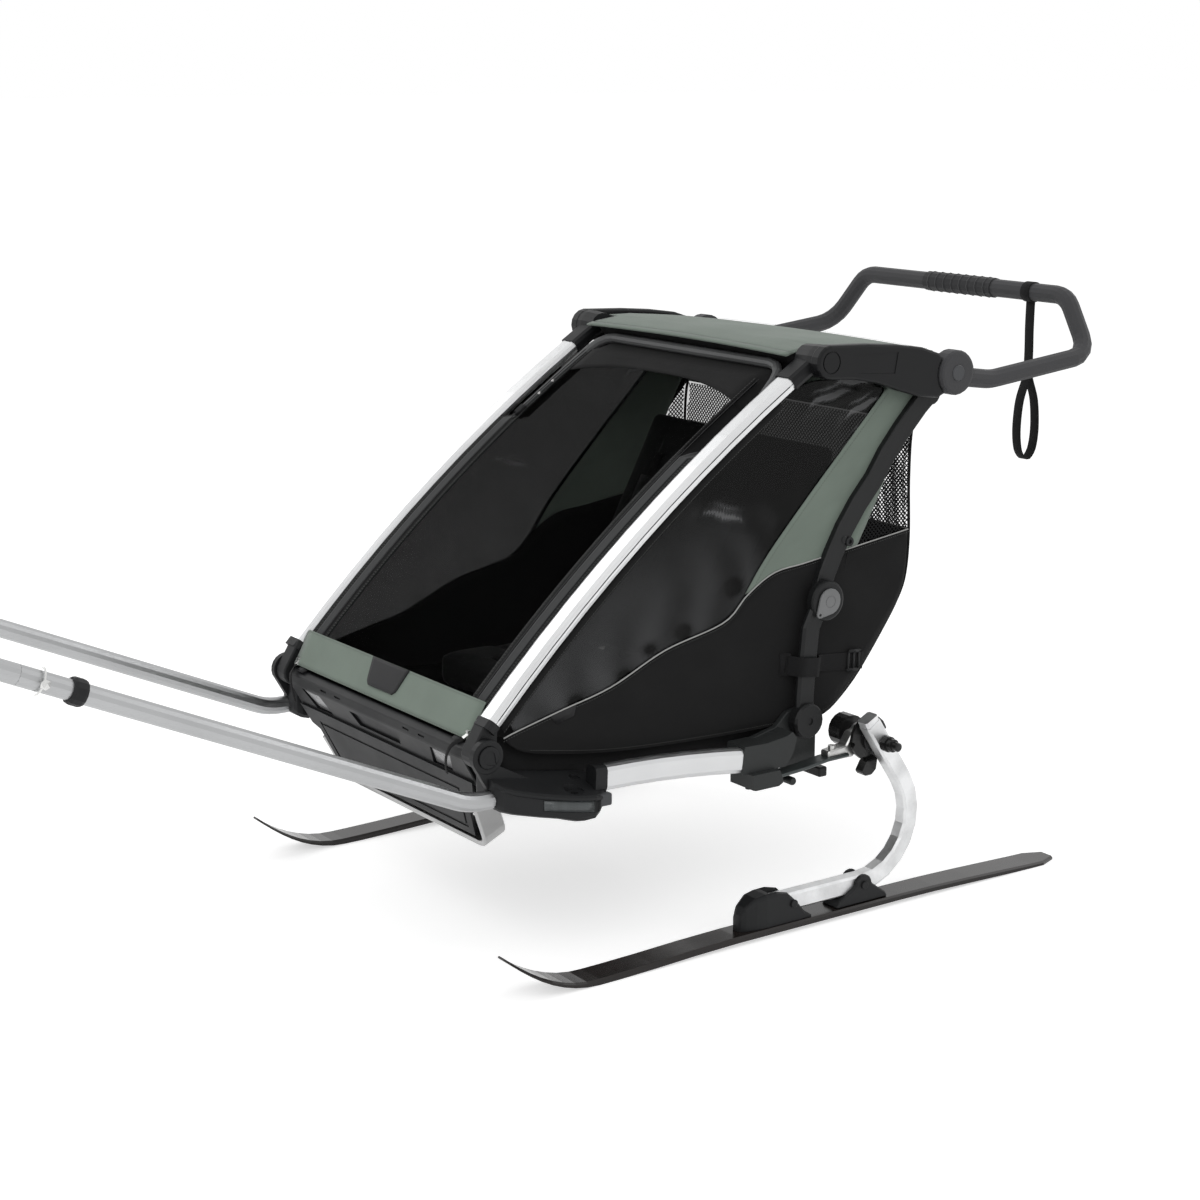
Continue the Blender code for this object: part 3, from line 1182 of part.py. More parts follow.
def make_cushion(name, low, high, crown, origin, turn=0.0, pivot=(0.0, 0.0, 0.0)):
    """Crowned pad whose sides draw in between the corners."""
    steps = 8
    rows = 6
    body = bmesh.new()
    grids = []
    for face in (1, -1):
        grid = []
        for i in range(steps + 1):
            line = []
            for j in range(rows + 1):
                u = 2 * i / steps - 1
                v = 2 * j / rows - 1
                drawn = PAD_WAIST * ((1 - v * v) * abs(u) + (1 - u * u) * abs(v))
                x = (low[0] + high[0]) / 2 + u * ((high[0] - low[0]) / 2 - drawn)
                y = (low[1] + high[1]) / 2 + v * ((high[1] - low[1]) / 2 - drawn)
                bulge = crown * (1 - u ** 4) * (1 - v ** 4)
                z = (high[2] - crown + bulge) if face > 0 else low[2]
                line.append(body.verts.new((x, y, z)))
            grid.append(line)
        grids.append(grid)
    for grid in grids:
        for i in range(steps):
            for j in range(rows):
                body.faces.new((grid[i][j], grid[i + 1][j], grid[i + 1][j + 1], grid[i][j + 1]))
    rim = [(i, 0) for i in range(steps)] + [(steps, j) for j in range(rows)]
    rim += [(i, rows) for i in range(steps, 0, -1)] + [(0, j) for j in range(rows, 0, -1)]
    for index, (i, j) in enumerate(rim):
        k, m = rim[(index + 1) % len(rim)]
        body.faces.new((grids[0][i][j], grids[0][k][m], grids[1][k][m], grids[1][i][j]))
    rotation = Matrix.Translation(pivot) @ Matrix.Rotation(turn, 4, "X") @ Matrix.Translation(-Vector(pivot))
    bmesh.ops.transform(body, matrix=rotation, verts=body.verts)
    return add_object(name, body, black_fabric(), origin)


def make_seat():
    """Bench cushion and the reclined backrest."""
    low = (-SEAT_HALF, 0.455, 0.292)
    high = (SEAT_HALF, 0.715, 0.352)
    make_cushion("seat_cushion", low, high, 0.014, (0, 0.455, 0.292))
    low = (-SEAT_HALF, BACK_FOOT[1], BACK_FOOT[2])
    high = (SEAT_HALF, 1.160, 0.366)
    make_cushion("seat_back", low, high, 0.010, BACK_FOOT, BACK_LEAN, BACK_FOOT)


def make_trailer():
    """Make every piece, pairs first."""
    clear_scene()
    for side in (1, -1):
        make_front_tube(side)
        make_tube_foot(side)
        make_top_cover(side)
        make_side_rail(side)
        make_hitch_housing(side)
        make_hitch_release(side)
        make_rear_bracket(side)
        make_arm_rear(side)
        make_arm_front(side)
        make_arm_clamp(side)
        make_arm_pin(side)
        make_upper_strut(side)
        make_lower_strut(side)
        make_fold_lever(side)
        make_handlebar_button(side)
        make_leaf_spring(side)
        make_axle_block(side)
        make_hub(side)
        make_ski_leg(side)
        make_ski(side)
        make_front_shoe(side)
        make_rear_shoe(side)
        make_side_panel(side)
    make_roof_bar()
    make_front_panel()
    make_front_hoop()
    make_rear_cross_bar()
    make_brake_pedal()
    make_floor_pan()
    make_handlebar()
    make_handlebar_grip()
    make_wrist_strap()
    make_rear_cover()
    make_roof()
    make_windshield()
    make_seat()


make_trailer()
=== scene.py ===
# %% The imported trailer
import json
import math

import bmesh
import bpy
import numpy as np
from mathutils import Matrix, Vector

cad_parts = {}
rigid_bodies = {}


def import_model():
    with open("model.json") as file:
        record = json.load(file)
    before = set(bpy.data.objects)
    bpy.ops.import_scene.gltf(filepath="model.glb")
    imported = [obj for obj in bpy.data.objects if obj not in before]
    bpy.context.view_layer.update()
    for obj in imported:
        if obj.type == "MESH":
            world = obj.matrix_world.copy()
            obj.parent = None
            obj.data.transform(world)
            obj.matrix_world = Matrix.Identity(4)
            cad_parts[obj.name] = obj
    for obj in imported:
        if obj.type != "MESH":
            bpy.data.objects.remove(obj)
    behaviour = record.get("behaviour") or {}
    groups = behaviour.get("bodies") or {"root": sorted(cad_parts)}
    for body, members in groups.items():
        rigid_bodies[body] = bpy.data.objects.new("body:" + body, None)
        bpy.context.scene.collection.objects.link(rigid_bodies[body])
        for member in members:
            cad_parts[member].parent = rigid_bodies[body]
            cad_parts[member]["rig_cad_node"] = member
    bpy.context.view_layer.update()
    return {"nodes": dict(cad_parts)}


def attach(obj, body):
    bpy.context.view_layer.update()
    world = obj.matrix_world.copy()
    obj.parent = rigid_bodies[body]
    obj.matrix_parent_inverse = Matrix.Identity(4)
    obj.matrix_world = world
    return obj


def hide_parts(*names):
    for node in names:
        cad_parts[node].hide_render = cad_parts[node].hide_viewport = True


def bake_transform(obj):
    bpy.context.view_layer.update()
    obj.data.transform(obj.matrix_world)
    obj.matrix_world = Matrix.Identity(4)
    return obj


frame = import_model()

for old in list(bpy.data.objects):
    if "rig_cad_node" not in old and not old.name.startswith("body:"):
        bpy.data.objects.remove(old, do_unlink=True)

# %% [markdown]
# ## Short helpers
# Every material and every Geometry Nodes tree below is built with the same call: add a node,
# and give each socket its value or the output that feeds it.

# %% Helpers
SIDES = (("left", 1), ("right", -1))


def add(tree, kind, inputs=None, **settings):
    """Add a node; inputs gives each socket a value, or the output that feeds it."""
    made = tree.nodes.new(kind)
    for name, value in settings.items():
        setattr(made, name, value)
    for key, value in (inputs or {}).items():
        if isinstance(value, bpy.types.NodeSocket):
            tree.links.new(value, made.inputs[key])
        else:
            made.inputs[key].default_value = value
    return made


def maths(tree, operation, *parts, clamp=False):
    """The result of a Math node; each part is a number or an output."""
    return add(tree, "ShaderNodeMath", dict(enumerate(parts)), operation=operation, use_clamp=clamp).outputs[0]


def in_scene(name, data):
    """A new object in the scene."""
    made = bpy.data.objects.new(name, data)
    bpy.context.scene.collection.objects.link(made)
    return made


def mesh_of(name, points, edges=(), faces=()):
    """A mesh from lists of points, edges and faces."""
    mesh = bpy.data.meshes.new(name)
    mesh.from_pydata(points, edges, faces)
    return mesh


def clamped(value):
    """The value, kept between 0 and 1."""
    return min(1.0, max(0.0, value))


def shares(half):
    """Even shares from -1 to 1, half of them on each side of the middle one."""
    return [k / half - 1 for k in range(2 * half + 1)]


print("helpers ready")

# %% [markdown]
# ## The camera
# The photograph looks at the trailer from its front left corner, a little above the handlebar.
# Four known points on the frame fix where the camera stands, so its place is written as
# numbers here. A long lens keeps the two skis nearly parallel, as they are in the picture.

# %% The camera
CAMERA_PLACE = (2.98, -1.458, 1.299)
CAMERA_TURN = (76.96, 0.0, 54.99)
CAMERA_LENS = 69.63

camera_data = bpy.data.cameras.new("camera")
camera_data.lens = CAMERA_LENS
camera_data.sensor_width = 36.0
camera_data.clip_end = 400.0
camera = in_scene("camera", camera_data)
camera.location = CAMERA_PLACE
camera.rotation_euler = [math.radians(angle) for angle in CAMERA_TURN]
bpy.context.scene.camera = camera
print("camera at", CAMERA_PLACE)

# %% [markdown]
# ## The studio
# A pale floor, a white surround and three wide soft lamps. The lamps stay at a plain level, so
# that a colour renders about as it is written. The floor adds its own faint white for camera,
# mirror and glass rays only: the picture gets its white ground, and the shadow stays.

# %% Floor and surround
FLOOR_HALF = 80.0
FLOOR_DROP = -0.0005
FLOOR_COLOUR = 0.8
FLOOR_LIFT = 0.56
SURROUND_LIGHT = 0.62


def seen_directly(tree):
    """One for camera, mirror and glass rays, nought for the rays that carry light."""
    rays = add(tree, "ShaderNodeLightPath").outputs
    seen = maths(tree, "MAXIMUM", rays["Is Camera Ray"], rays["Is Glossy Ray"])
    return maths(tree, "MAXIMUM", seen, rays["Is Transmission Ray"])


floor_corners = [(x * FLOOR_HALF, y * FLOOR_HALF, FLOOR_DROP) for x, y in ((-1, -1), (1, -1), (1, 1), (-1, 1))]
floor = in_scene("studio_floor", mesh_of("studio_floor", floor_corners, faces=[(0, 1, 2, 3)]))
pale = bpy.data.materials.new("pale_floor")
pale.use_nodes = True
tree = pale.node_tree
tree.nodes.clear()
matt = add(tree, "ShaderNodeBsdfDiffuse", {"Color": (FLOOR_COLOUR, FLOOR_COLOUR, FLOOR_COLOUR, 1)})
glow = add(tree, "ShaderNodeEmission", {"Strength": maths(tree, "MULTIPLY", seen_directly(tree), FLOOR_LIFT)})
both = add(tree, "ShaderNodeAddShader", {0: matt.outputs[0], 1: glow.outputs[0]})
add(tree, "ShaderNodeOutputMaterial", {"Surface": both.outputs[0]})
floor.data.materials.append(pale)

world = bpy.data.worlds.new("white_surround")
bpy.context.scene.world = world
world.use_nodes = True
tree = world.node_tree
level = add(tree, "ShaderNodeMapRange", {"To Min": SURROUND_LIGHT, "To Max": 1.0, "Value": seen_directly(tree)})
tree.links.new(level.outputs["Result"], tree.nodes["Background"].inputs["Strength"])
tree.nodes["Background"].inputs["Color"].default_value = (1, 1, 1, 1)
bpy.context.scene.view_settings.view_transform = "Standard"
print("floor and surround ready")

# %% Lamps
LAMPS = [
    ("key_lamp", (2.6, -2.2, 3.4), (0.0, 0.3, 0.4), 2.4, 46.0),
    ("fill_lamp", (-3.2, -0.6, 2.6), (0.0, 0.4, 0.4), 2.4, 22.0),
    ("rear_lamp", (0.8, 4.2, 2.6), (0.0, 0.6, 0.5), 2.0, 18.0),
]

for name, place, target, size, power in LAMPS:
    lamp = in_scene(name, bpy.data.lights.new(name, "AREA"))
    lamp.data.size = size
    lamp.data.energy = power
    lamp.location = place
    lamp.rotation_euler = (Vector(target) - Vector(place)).to_track_quat("-Z", "Y").to_euler()
print("lamps", [row[0] for row in LAMPS])

# %% [markdown]
# ## Finishes
# Every finish starts from the same short recipe: a Principled shader, a colour that drifts a
# little between two close shades, a roughness that drifts the same way, and a fine bump.
# Noise in Object coordinates does this without a picture file, so it fits any shape. Woven
# cloth reads the piece's own UV map instead, measured in metres, and its threads follow it.

# %% Building blocks for finishes
def start_finish(name, colour, roughness, metallic=0.0, gloss=None):
    """A new material, its node tree and its shader; gloss is the specular level."""
    made = bpy.data.materials.new(name)
    made.use_nodes = True
    shader = made.node_tree.nodes["Principled BSDF"]
    shader.inputs["Base Color"].default_value = (*colour, 1.0)
    shader.inputs["Roughness"].default_value = roughness
    shader.inputs["Metallic"].default_value = metallic
    if gloss is not None:
        shader.inputs["Specular IOR Level"].default_value = gloss
    return made, made.node_tree, shader


def coordinates(tree, scale=(1.0, 1.0, 1.0), source="Object", turn=0.0, **settings):
    """Object or UV coordinates, turned about X and stretched by scale."""
    sockets = {"Vector": add(tree, "ShaderNodeTexCoord").outputs[source], "Rotation": (turn, 0.0, 0.0), "Scale": scale}
    return add(tree, "ShaderNodeMapping", sockets, **settings).outputs["Vector"]


def noise(tree, vector, scale, detail=3.0):
    return add(tree, "ShaderNodeTexNoise", {"Vector": vector, "Scale": scale, "Detail": detail}).outputs["Fac"]


def drift_colour(tree, shader, factor, colour, shades):
    """Colour that drifts between two shades of itself."""
    ramp = add(tree, "ShaderNodeValToRGB", {"Fac": factor})
    for stop, position, shade in zip(ramp.color_ramp.elements, (0.35, 0.65), shades):
        stop.position = position
        stop.color = (*(min(1.0, part * shade) for part in colour), 1)
    tree.links.new(ramp.outputs["Color"], shader.inputs["Base Color"])


def drift_roughness(tree, shader, factor, low, high):
    """Roughness that runs from low to high as factor runs over its middle part."""
    spread = {"From Min": 0.32, "From Max": 0.68, "To Min": low, "To Max": high, "Value": factor}
    tree.links.new(add(tree, "ShaderNodeMapRange", spread).outputs["Result"], shader.inputs["Roughness"])


def bump(tree, shader, height, depth, strength, before=None):
    """Push the surface in and out by height times depth in metres."""
    sockets = {"Strength": strength, "Distance": depth, "Height": height}
    if before is not None:
        sockets["Normal"] = before
    node = add(tree, "ShaderNodeBump", sockets)
    tree.links.new(node.outputs["Normal"], shader.inputs["Normal"])
    return node.outputs["Normal"]


print("finish helpers ready")

# %% [markdown]
# Moulded plastic has a fine spark-eroded grain and is rubbed a little paler where hands
# reach it. A quick noise gives the grain, a slow one the rubbed patches, and Pointiness
# would give the edges, but it needs a denser mesh than this CAD frame has.

# %% Moulded plastic
def moulded_plastic(name, colour, roughness, grain=0.00006, gloss=0.3):
    made, tree, shader = start_finish(name, colour, roughness, gloss=gloss)
    where = coordinates(tree)
    slow = noise(tree, where, 9.0, 4.0)
    drift_colour(tree, shader, slow, colour, (0.9, 1.14))
    drift_roughness(tree, shader, slow, roughness - 0.05, roughness + 0.07)
    bump(tree, shader, noise(tree, where, 900.0, 2.0), grain, 0.5)
    return made


BLACK_PLASTIC = moulded_plastic("grained_black_plastic", (0.0105, 0.011, 0.0118), 0.48, gloss=0.24)
COVER_PLASTIC = moulded_plastic("satin_black_covers", (0.0075, 0.0078, 0.0085), 0.44, gloss=0.2)
GREY_PLASTIC = moulded_plastic("lever_grey_plastic", (0.185, 0.188, 0.19), 0.42)
BRACKET_PLASTIC = moulded_plastic("bracket_grey_plastic", (0.022, 0.024, 0.024), 0.46)
BAR_PLASTIC = moulded_plastic("roof_bar_grey", (0.085, 0.087, 0.088), 0.44)
BUTTON_PLASTIC = moulded_plastic("button_dark_grey", (0.06, 0.062, 0.066), 0.4)
RUBBER = moulded_plastic("rubber_black", (0.014, 0.014, 0.015), 0.62)
print("plastics ready")

# %% [markdown]
# The front tubes are drawn aluminium with a clear anodised skin. Brushing leaves very fine
# lines along the tube, so the noise is stretched along the tube's own slope and squeezed
# across it. The same recipe in black makes the folding struts.

# %% Metals
TUBE_SLOPE = math.radians(40.7)


def drawn_metal(name, colour, roughness, turn, metallic=1.0, gloss=0.5):
    """Metal with fine lines along one direction in the side plane."""
    made, tree, shader = start_finish(name, colour, roughness, metallic, gloss)
    lines = noise(tree, coordinates(tree, (1.0, 28.0, 1.0), turn=turn, vector_type="TEXTURE"), 700.0, 2.0)
    slow = noise(tree, coordinates(tree), 5.0)
    drift_colour(tree, shader, slow, colour, (0.95, 1.04))
    drift_roughness(tree, shader, lines, roughness - 0.06, roughness + 0.08)
    bump(tree, shader, lines, 0.00002, 0.35)
    return made


def cast_metal(name, colour, roughness):
    """Cast or plated metal with an even, slightly pebbled skin."""
    made, tree, shader = start_finish(name, colour, roughness, 1.0)
    where = coordinates(tree)
    pebbles = noise(tree, where, 420.0, 2.0)
    drift_colour(tree, shader, noise(tree, where, 22.0, 5.0), colour, (0.86, 1.12))
    drift_roughness(tree, shader, pebbles, roughness - 0.08, roughness + 0.1)
    bump(tree, shader, pebbles, 0.00005, 0.4)
    return made


SILVER_TUBE = drawn_metal("clear_anodised_tube", (0.7, 0.705, 0.71), 0.3, TUBE_SLOPE)
BLACK_TUBE = drawn_metal("black_anodised_tube", (0.0115, 0.012, 0.0125), 0.44, math.radians(58), 0.0, 0.24)
RAIL_METAL = drawn_metal("satin_rail", (0.62, 0.625, 0.63), 0.34, 0.0)
LEG_METAL = cast_metal("clear_anodised_leg", (0.7, 0.705, 0.71), 0.44)
SPRING_STEEL = drawn_metal("grey_spring_steel", (0.055, 0.064, 0.064), 0.4, 0.0, metallic=0.6)
ARM_METAL = drawn_metal("satin_arm_tube", (0.43, 0.435, 0.44), 0.36, 0.0)
HOOP_METAL = drawn_metal("satin_hoop", (0.42, 0.42, 0.42), 0.34, math.radians(90))
CAST_METAL = cast_metal("cast_axle_block", (0.56, 0.56, 0.55), 0.36)
PLATED_STEEL = cast_metal("plated_steel", (0.62, 0.62, 0.61), 0.3)
print("metals ready")

# %% [markdown]
# Skis are lacquered, so under a clear gloss their brownish black shows a faint swirl. The
# lacquer is the shader's own coat. Foam is the opposite: no gloss, small open cells, which a
# Voronoi texture gives when its cell distance drives the bump.

# %% Lacquer and foam
def lacquer(name, colour, roughness):
    made, tree, shader = start_finish(name, colour, roughness, gloss=0.25)
    slow = noise(tree, coordinates(tree, (1.0, 0.25, 1.0)), 14.0, 5.0)
    drift_colour(tree, shader, slow, colour, (0.85, 1.2))
    drift_roughness(tree, shader, slow, roughness - 0.04, roughness + 0.05)
    shader.inputs["Coat Weight"].default_value = 0.1
    shader.inputs["Coat Roughness"].default_value = 0.08
    bump(tree, shader, noise(tree, coordinates(tree), 60.0, 2.0), 0.00003, 0.3)
    return made


def foam(name, colour):
    made, tree, shader = start_finish(name, colour, 0.82)
    where = coordinates(tree)
    cells = add(tree, "ShaderNodeTexVoronoi", {"Vector": where, "Scale": 480.0})
    slow = noise(tree, where, 16.0, 4.0)
    drift_colour(tree, shader, slow, colour, (0.86, 1.15))
    drift_roughness(tree, shader, slow, 0.74, 0.9)
    shader.inputs["Sheen Weight"].default_value = 0.12
    bump(tree, shader, cells.outputs["Distance"], 0.00025, 0.6)
    return made


SKI_LACQUER = lacquer("ski_lacquer", (0.0145, 0.0115, 0.0105), 0.2)
HUB_LACQUER = lacquer("hub_gloss_black", (0.012, 0.012, 0.012), 0.2)
BAR_FOAM = foam("handlebar_foam", (0.044, 0.044, 0.047))
GRIP_FOAM = foam("grip_foam", (0.018, 0.018, 0.02))
print("lacquer and foam ready")

# %% [markdown]
# Cloth is woven from crossing threads. Two sets of bands in the UV map, one across and one
# along, multiply into small cushions, and a noise makes some threads thicker. At arm's
# length only the sheen and the slow unevenness show, and close up the threads do.

# %% Woven cloth
def woven(name, colour, threads=900.0, depth=0.00012, sheen=0.18, gloss=0.4, source="UV"):
    made, tree, shader = start_finish(name, colour, 0.84, gloss=gloss)
    where = coordinates(tree, source=source)
    bands = [add(tree, "ShaderNodeTexWave", {"Vector": where, "Scale": threads / 3.1416, "Distortion": 0.6},
                 bands_direction=direction).outputs["Fac"] for direction in ("X", "Y")]
    slow = noise(tree, where, 11.0, 5.0)
    drift_colour(tree, shader, slow, colour, (0.93, 1.07))
    drift_roughness(tree, shader, slow, 0.79, 0.9)
    shader.inputs["Sheen Weight"].default_value = sheen
    shader.inputs["Sheen Roughness"].default_value = 0.4
    soft = bump(tree, shader, slow, 0.0012, 0.35)
    bump(tree, shader, maths(tree, "MULTIPLY", *bands), depth, 0.6, soft)
    return made


GREEN_CLOTH = woven("green_grey_cloth", (0.19, 0.232, 0.196))
ROOF_CLOTH = woven("roof_green_cloth", (0.17, 0.206, 0.176))
BLACK_CLOTH = woven("black_cloth", (0.008, 0.008, 0.0082), sheen=0.05, gloss=0.2)
DARK_CLOTH = woven("dark_border_cloth", (0.006, 0.006, 0.0062), sheen=0.04, gloss=0.2)
BAND_CLOTH = woven("grey_zip_band", (0.04, 0.041, 0.042), sheen=0.1, gloss=0.3)
WEBBING = woven("black_webbing", (0.01, 0.01, 0.0105), threads=1500.0, depth=0.0003, sheen=0.05, gloss=0.2)
PIPING = woven("pale_piping", (0.42, 0.42, 0.41), threads=2200.0, sheen=0.1)
THREAD = woven("grey_thread", (0.1, 0.105, 0.1), threads=4000.0, source="Object")
NET_CORD = woven("black_net_cord", (0.009, 0.009, 0.0095), threads=3000.0, sheen=0.02, gloss=0.2, source="Object")
PAD_CLOTH = woven("pad_cloth", (0.016, 0.017, 0.017), threads=620.0, depth=0.0002, gloss=0.2)
print("cloths ready")

# %% [markdown]
# The windows are a soft smoke-grey film. Each film has two faces, so light passes twice. The
# front one lets the inside show through, and the side one is nearly closed; its folds show by a
# painted highlight on the pulled folds and painted shade in the gathers. Both are painted paler
# towards the lower edge, a painted reflection of the bright floor, by a ramp over height and a
# slow noise.

# %% Window film
def film(name, shades, alpha, gloss, heights):
    """Film painted paler towards its lower edge, a painted reflection of the bright floor; heights
    are its (low, high). Its own point attribute holds 1 or more for a painted highlight on
    pulled folds and -1 for painted shade in the gathers."""
    roughness = 0.16
    made, tree, shader = start_finish(name, shades[0], roughness, gloss=gloss)
    where = coordinates(tree)
    slow = noise(tree, where, 7.0, 3.0)
    height = add(tree, "ShaderNodeSeparateXYZ", {"Vector": where}).outputs["Z"]
    # Paler towards the lower edge: a painted reflection of the bright floor.
    floor_reflection = add(tree, "ShaderNodeMapRange", {"Value": maths(tree, "MULTIPLY_ADD", slow, 0.16, height),
                                            "From Min": heights[1] + 0.08, "From Max": heights[0] + 0.08})
    # Painted highlights on the folds and painted shade in the gathers, from the piece's own point attribute.
    painted_light = add(tree, "ShaderNodeAttribute", attribute_name="painted_light")
    total = maths(tree, "ADD", floor_reflection.outputs["Result"], painted_light.outputs["Fac"])
    ramp = add(tree, "ShaderNodeValToRGB", {"Fac": maths(tree, "MULTIPLY", total, 0.5, clamp=True)})
    ramp.color_ramp.elements.new(0.5)
    for stop, shade in zip(ramp.color_ramp.elements, shades):
        stop.color = (*shade, 1)
    tree.links.new(ramp.outputs["Color"], shader.inputs["Base Color"])
    drift_roughness(tree, shader, slow, roughness - 0.04, roughness + 0.05)
    shader.inputs["Alpha"].default_value = alpha
    bump(tree, shader, slow, 0.002, 0.15)
    return made


# Ramp stops: the film's own dark tone, a paler tone that is the painted reflection of the bright floor, and a bright
# tone that is the painted highlight on folds; the front film carries no fold attribute, so it reaches only the paler
# tone.
FRONT_FILM = film("smoke_film_front", ((0.0015,) * 3, (0.0025,) * 3, (0.006,) * 3), 0.27, 0.0, (0.4, 0.6))
SIDE_FILM = film("smoke_film_side", ((0.003, 0.0032, 0.003), (0.068, 0.069, 0.071), (0.24, 0.242, 0.244)),
                 0.82, 0.12, (0.42, 0.68))
print("films ready")

# %% [markdown]
# Reflectors are clear plastic over tiny corner prisms. A fine bump of even small cells
# breaks their face into facets, which is what gives them their grey sparkle.

# %% Reflectors
def prism_plastic(name, colour):
    made, tree, shader = start_finish(name, colour, 0.24, 0.15, 0.3)
    where = coordinates(tree)
    cells = add(tree, "ShaderNodeTexVoronoi", {"Vector": where, "Scale": 420.0, "Randomness": 0.0}).outputs["Distance"]
    drift_colour(tree, shader, cells, colour, (0.88, 1.12))
    drift_roughness(tree, shader, noise(tree, where, 30.0), 0.18, 0.32)
    bump(tree, shader, cells, 0.0002, 0.4)
    return made


SIDE_REFLECTOR = prism_plastic("side_reflector", (0.085, 0.092, 0.094))
FRONT_REFLECTOR = prism_plastic("front_reflector", (0.24, 0.24, 0.245))
print("reflectors ready")

# %% Finishes for the hard pieces
NODE_FINISHES = [
    (SILVER_TUBE, "front_tube"), (RAIL_METAL, "side_rail"), (HOOP_METAL, "front_hoop"), (LEG_METAL, "ski_leg"),
    (ARM_METAL, "arm_rear arm_front"), (BLACK_TUBE, "upper_strut lower_strut rear_cross_bar"),
    (SPRING_STEEL, "leaf_spring"), (CAST_METAL, "axle_block"), (PLATED_STEEL, "arm_pin"), (SKI_LACQUER, "ski"),
    (HUB_LACQUER, "hub"), (COVER_PLASTIC, "top_cover"), (BAR_PLASTIC, "roof_bar"), (GREY_PLASTIC, "fold_lever"),
    (BRACKET_PLASTIC, "rear_bracket"), (BUTTON_PLASTIC, "hitch_release handlebar_button"),
    (BAR_FOAM, "handlebar"), (GRIP_FOAM, "handlebar_grip"),
    (BLACK_PLASTIC, "front_tube_foot hitch_housing arm_clamp front_shoe rear_shoe front_panel brake_pedal"),
]

finished = 0
for material, names in NODE_FINISHES:
    for name in names.split():
        for node in {name, name + "_left", name + "_right"} & set(frame["nodes"]):
            for place in frame["nodes"][node].material_slots:
                place.material = material
            finished += 1
print("finished nodes", finished)

# %% [markdown]
# ## Lines that the soft pieces follow
# The cloth is cut to the frame, so the frame's own lines come first: the bowed front tube,
# the rear outline and the pale piping that crosses the side. They are written as (y, z)
# points in metres, because both sides of the trailer are the same.

# %% Frame lines
PIVOT = Vector((0.0, 0.22, 0.34))
SHOULDER = Vector((0.0, 0.824, 0.859))
ALONG = (SHOULDER - PIVOT).normalized()
LIFT = Vector((0.0, -ALONG.z, ALONG.y))
SIDE_X = 0.2957
TUBE_START = 0.042
TUBE_LENGTH = 0.693
TUBE_BOW = 0.0215


def tube_point(distance, extra=0.0):
    """Point on the front tube's middle line, in the plane x = 0."""
    share = (distance - TUBE_START) / TUBE_LENGTH
    rise = 0.024 - 0.012 * share + 4 * TUBE_BOW * share * (1 - share) + extra
    return PIVOT + ALONG * distance + LIFT * rise


def flat(points):
    """Lift (y, z) pairs to vectors in the plane x = 0."""
    return [Vector((0.0, y, z)) for y, z in points]


REAR_LINE = flat([(1.06, 0.848), (1.045, 0.8), (1.024, 0.74), (1.02, 0.66), (1.023, 0.565),
                  (1.017, 0.5), (0.999, 0.46), (0.97, 0.418), (0.941, 0.38), (0.918, 0.352),
                  (0.892, 0.327), (0.866, 0.307), (0.845, 0.298)])
PIPING_LINE = flat([(0.253, 0.36), (0.273, 0.366), (0.354, 0.386), (0.441, 0.407), (0.539, 0.448),
                    (0.649, 0.475), (0.694, 0.512), (0.745, 0.54), (0.807, 0.548), (0.902, 0.561),
                    (1.018, 0.577)])
BOTTOM_LINE = flat([(0.258, 0.354), (0.3, 0.33), (0.44, 0.308), (0.62, 0.298), (0.78, 0.296),
                    (0.84, 0.299), (0.866, 0.308), (0.892, 0.328), (0.941, 0.381), (0.97, 0.419),
                    (0.999, 0.461), (1.014, 0.5), (1.018, 0.57)])
STRIP_FRONT = flat([(0.694, 0.512), (0.736, 0.567), (0.81, 0.645), (0.9, 0.735), (0.963, 0.798)])
STRIP_REAR = flat([(0.912, 0.5625), (0.95, 0.63), (0.985, 0.7), (1.018, 0.76), (1.04, 0.802)])


def distances(points):
    """How far along the line each of its points lies."""
    run = [0.0]
    for a, b in zip(points, points[1:]):
        run.append(run[-1] + (b - a).length)
    return run


def run_of(points):
    """Length along a line of points."""
    return distances(points)[-1]


def even(points, count):
    """count points at even steps along a smooth line through the given points."""
    line = [Vector(p) for p in points]
    if len(line) > 2:
        fine = []
        for index in range(len(line) - 1):
            a, b = line[index], line[index + 1]
            before, after = line[max(index - 1, 0)], line[min(index + 2, len(line) - 1)]
            for step in range(8):
                t = step / 8
                fine.append(0.5 * (2 * a + (b - before) * t + (2 * before - 5 * a + 4 * b - after) * t * t
                                   + (3 * a - before - 3 * b + after) * t ** 3))
        line = fine + [line[-1]]
    run = distances(line)
    made, index = [], 0
    for step in range(count):
        want = run[-1] * step / (count - 1)
        while index < len(line) - 2 and run[index + 1] < want:
            index += 1
        span = run[index + 1] - run[index]
        made.append(line[index].lerp(line[index + 1], (want - run[index]) / span if span > 0 else 0.0))
    return made


def height_at(line, y):
    """Height of a line at one y."""
    for a, b in zip(line, line[1:]):
        if a.y <= y <= b.y:
            return a.z + (b.z - a.z) * (y - a.y) / (b.y - a.y)
    return line[0].z if y < line[0].y else line[-1].z


def moved(points, step):
    """The same line, moved by one step."""
    return [p + Vector(step) for p in points]


def mirrored(points, side):
    """Points of the left side, laid on the given side."""
    return [(side * x, y, z) for x, y, z in points]


def at_side(points, side, x):
    """The same line at one distance from the middle of the trailer."""
    return [Vector((side * x, p.y, p.z)) for p in points]


print("piping runs", round(run_of(PIPING_LINE), 3), "m")

# %% [markdown]
# ## Sheets, webbing and cords
# Three small makers cover nearly all sewn work. A sheet is a grid of points with a UV map in
# metres and a little thickness. Webbing is a flat section swept along a path, with its face
# kept towards one side. Piping and cords are the same sweep with a round section.

# %% Makers for sewn work
FOIL, THIN, MIDDLE, THICK = 0.0006, 0.0014, 0.0016, 0.0018


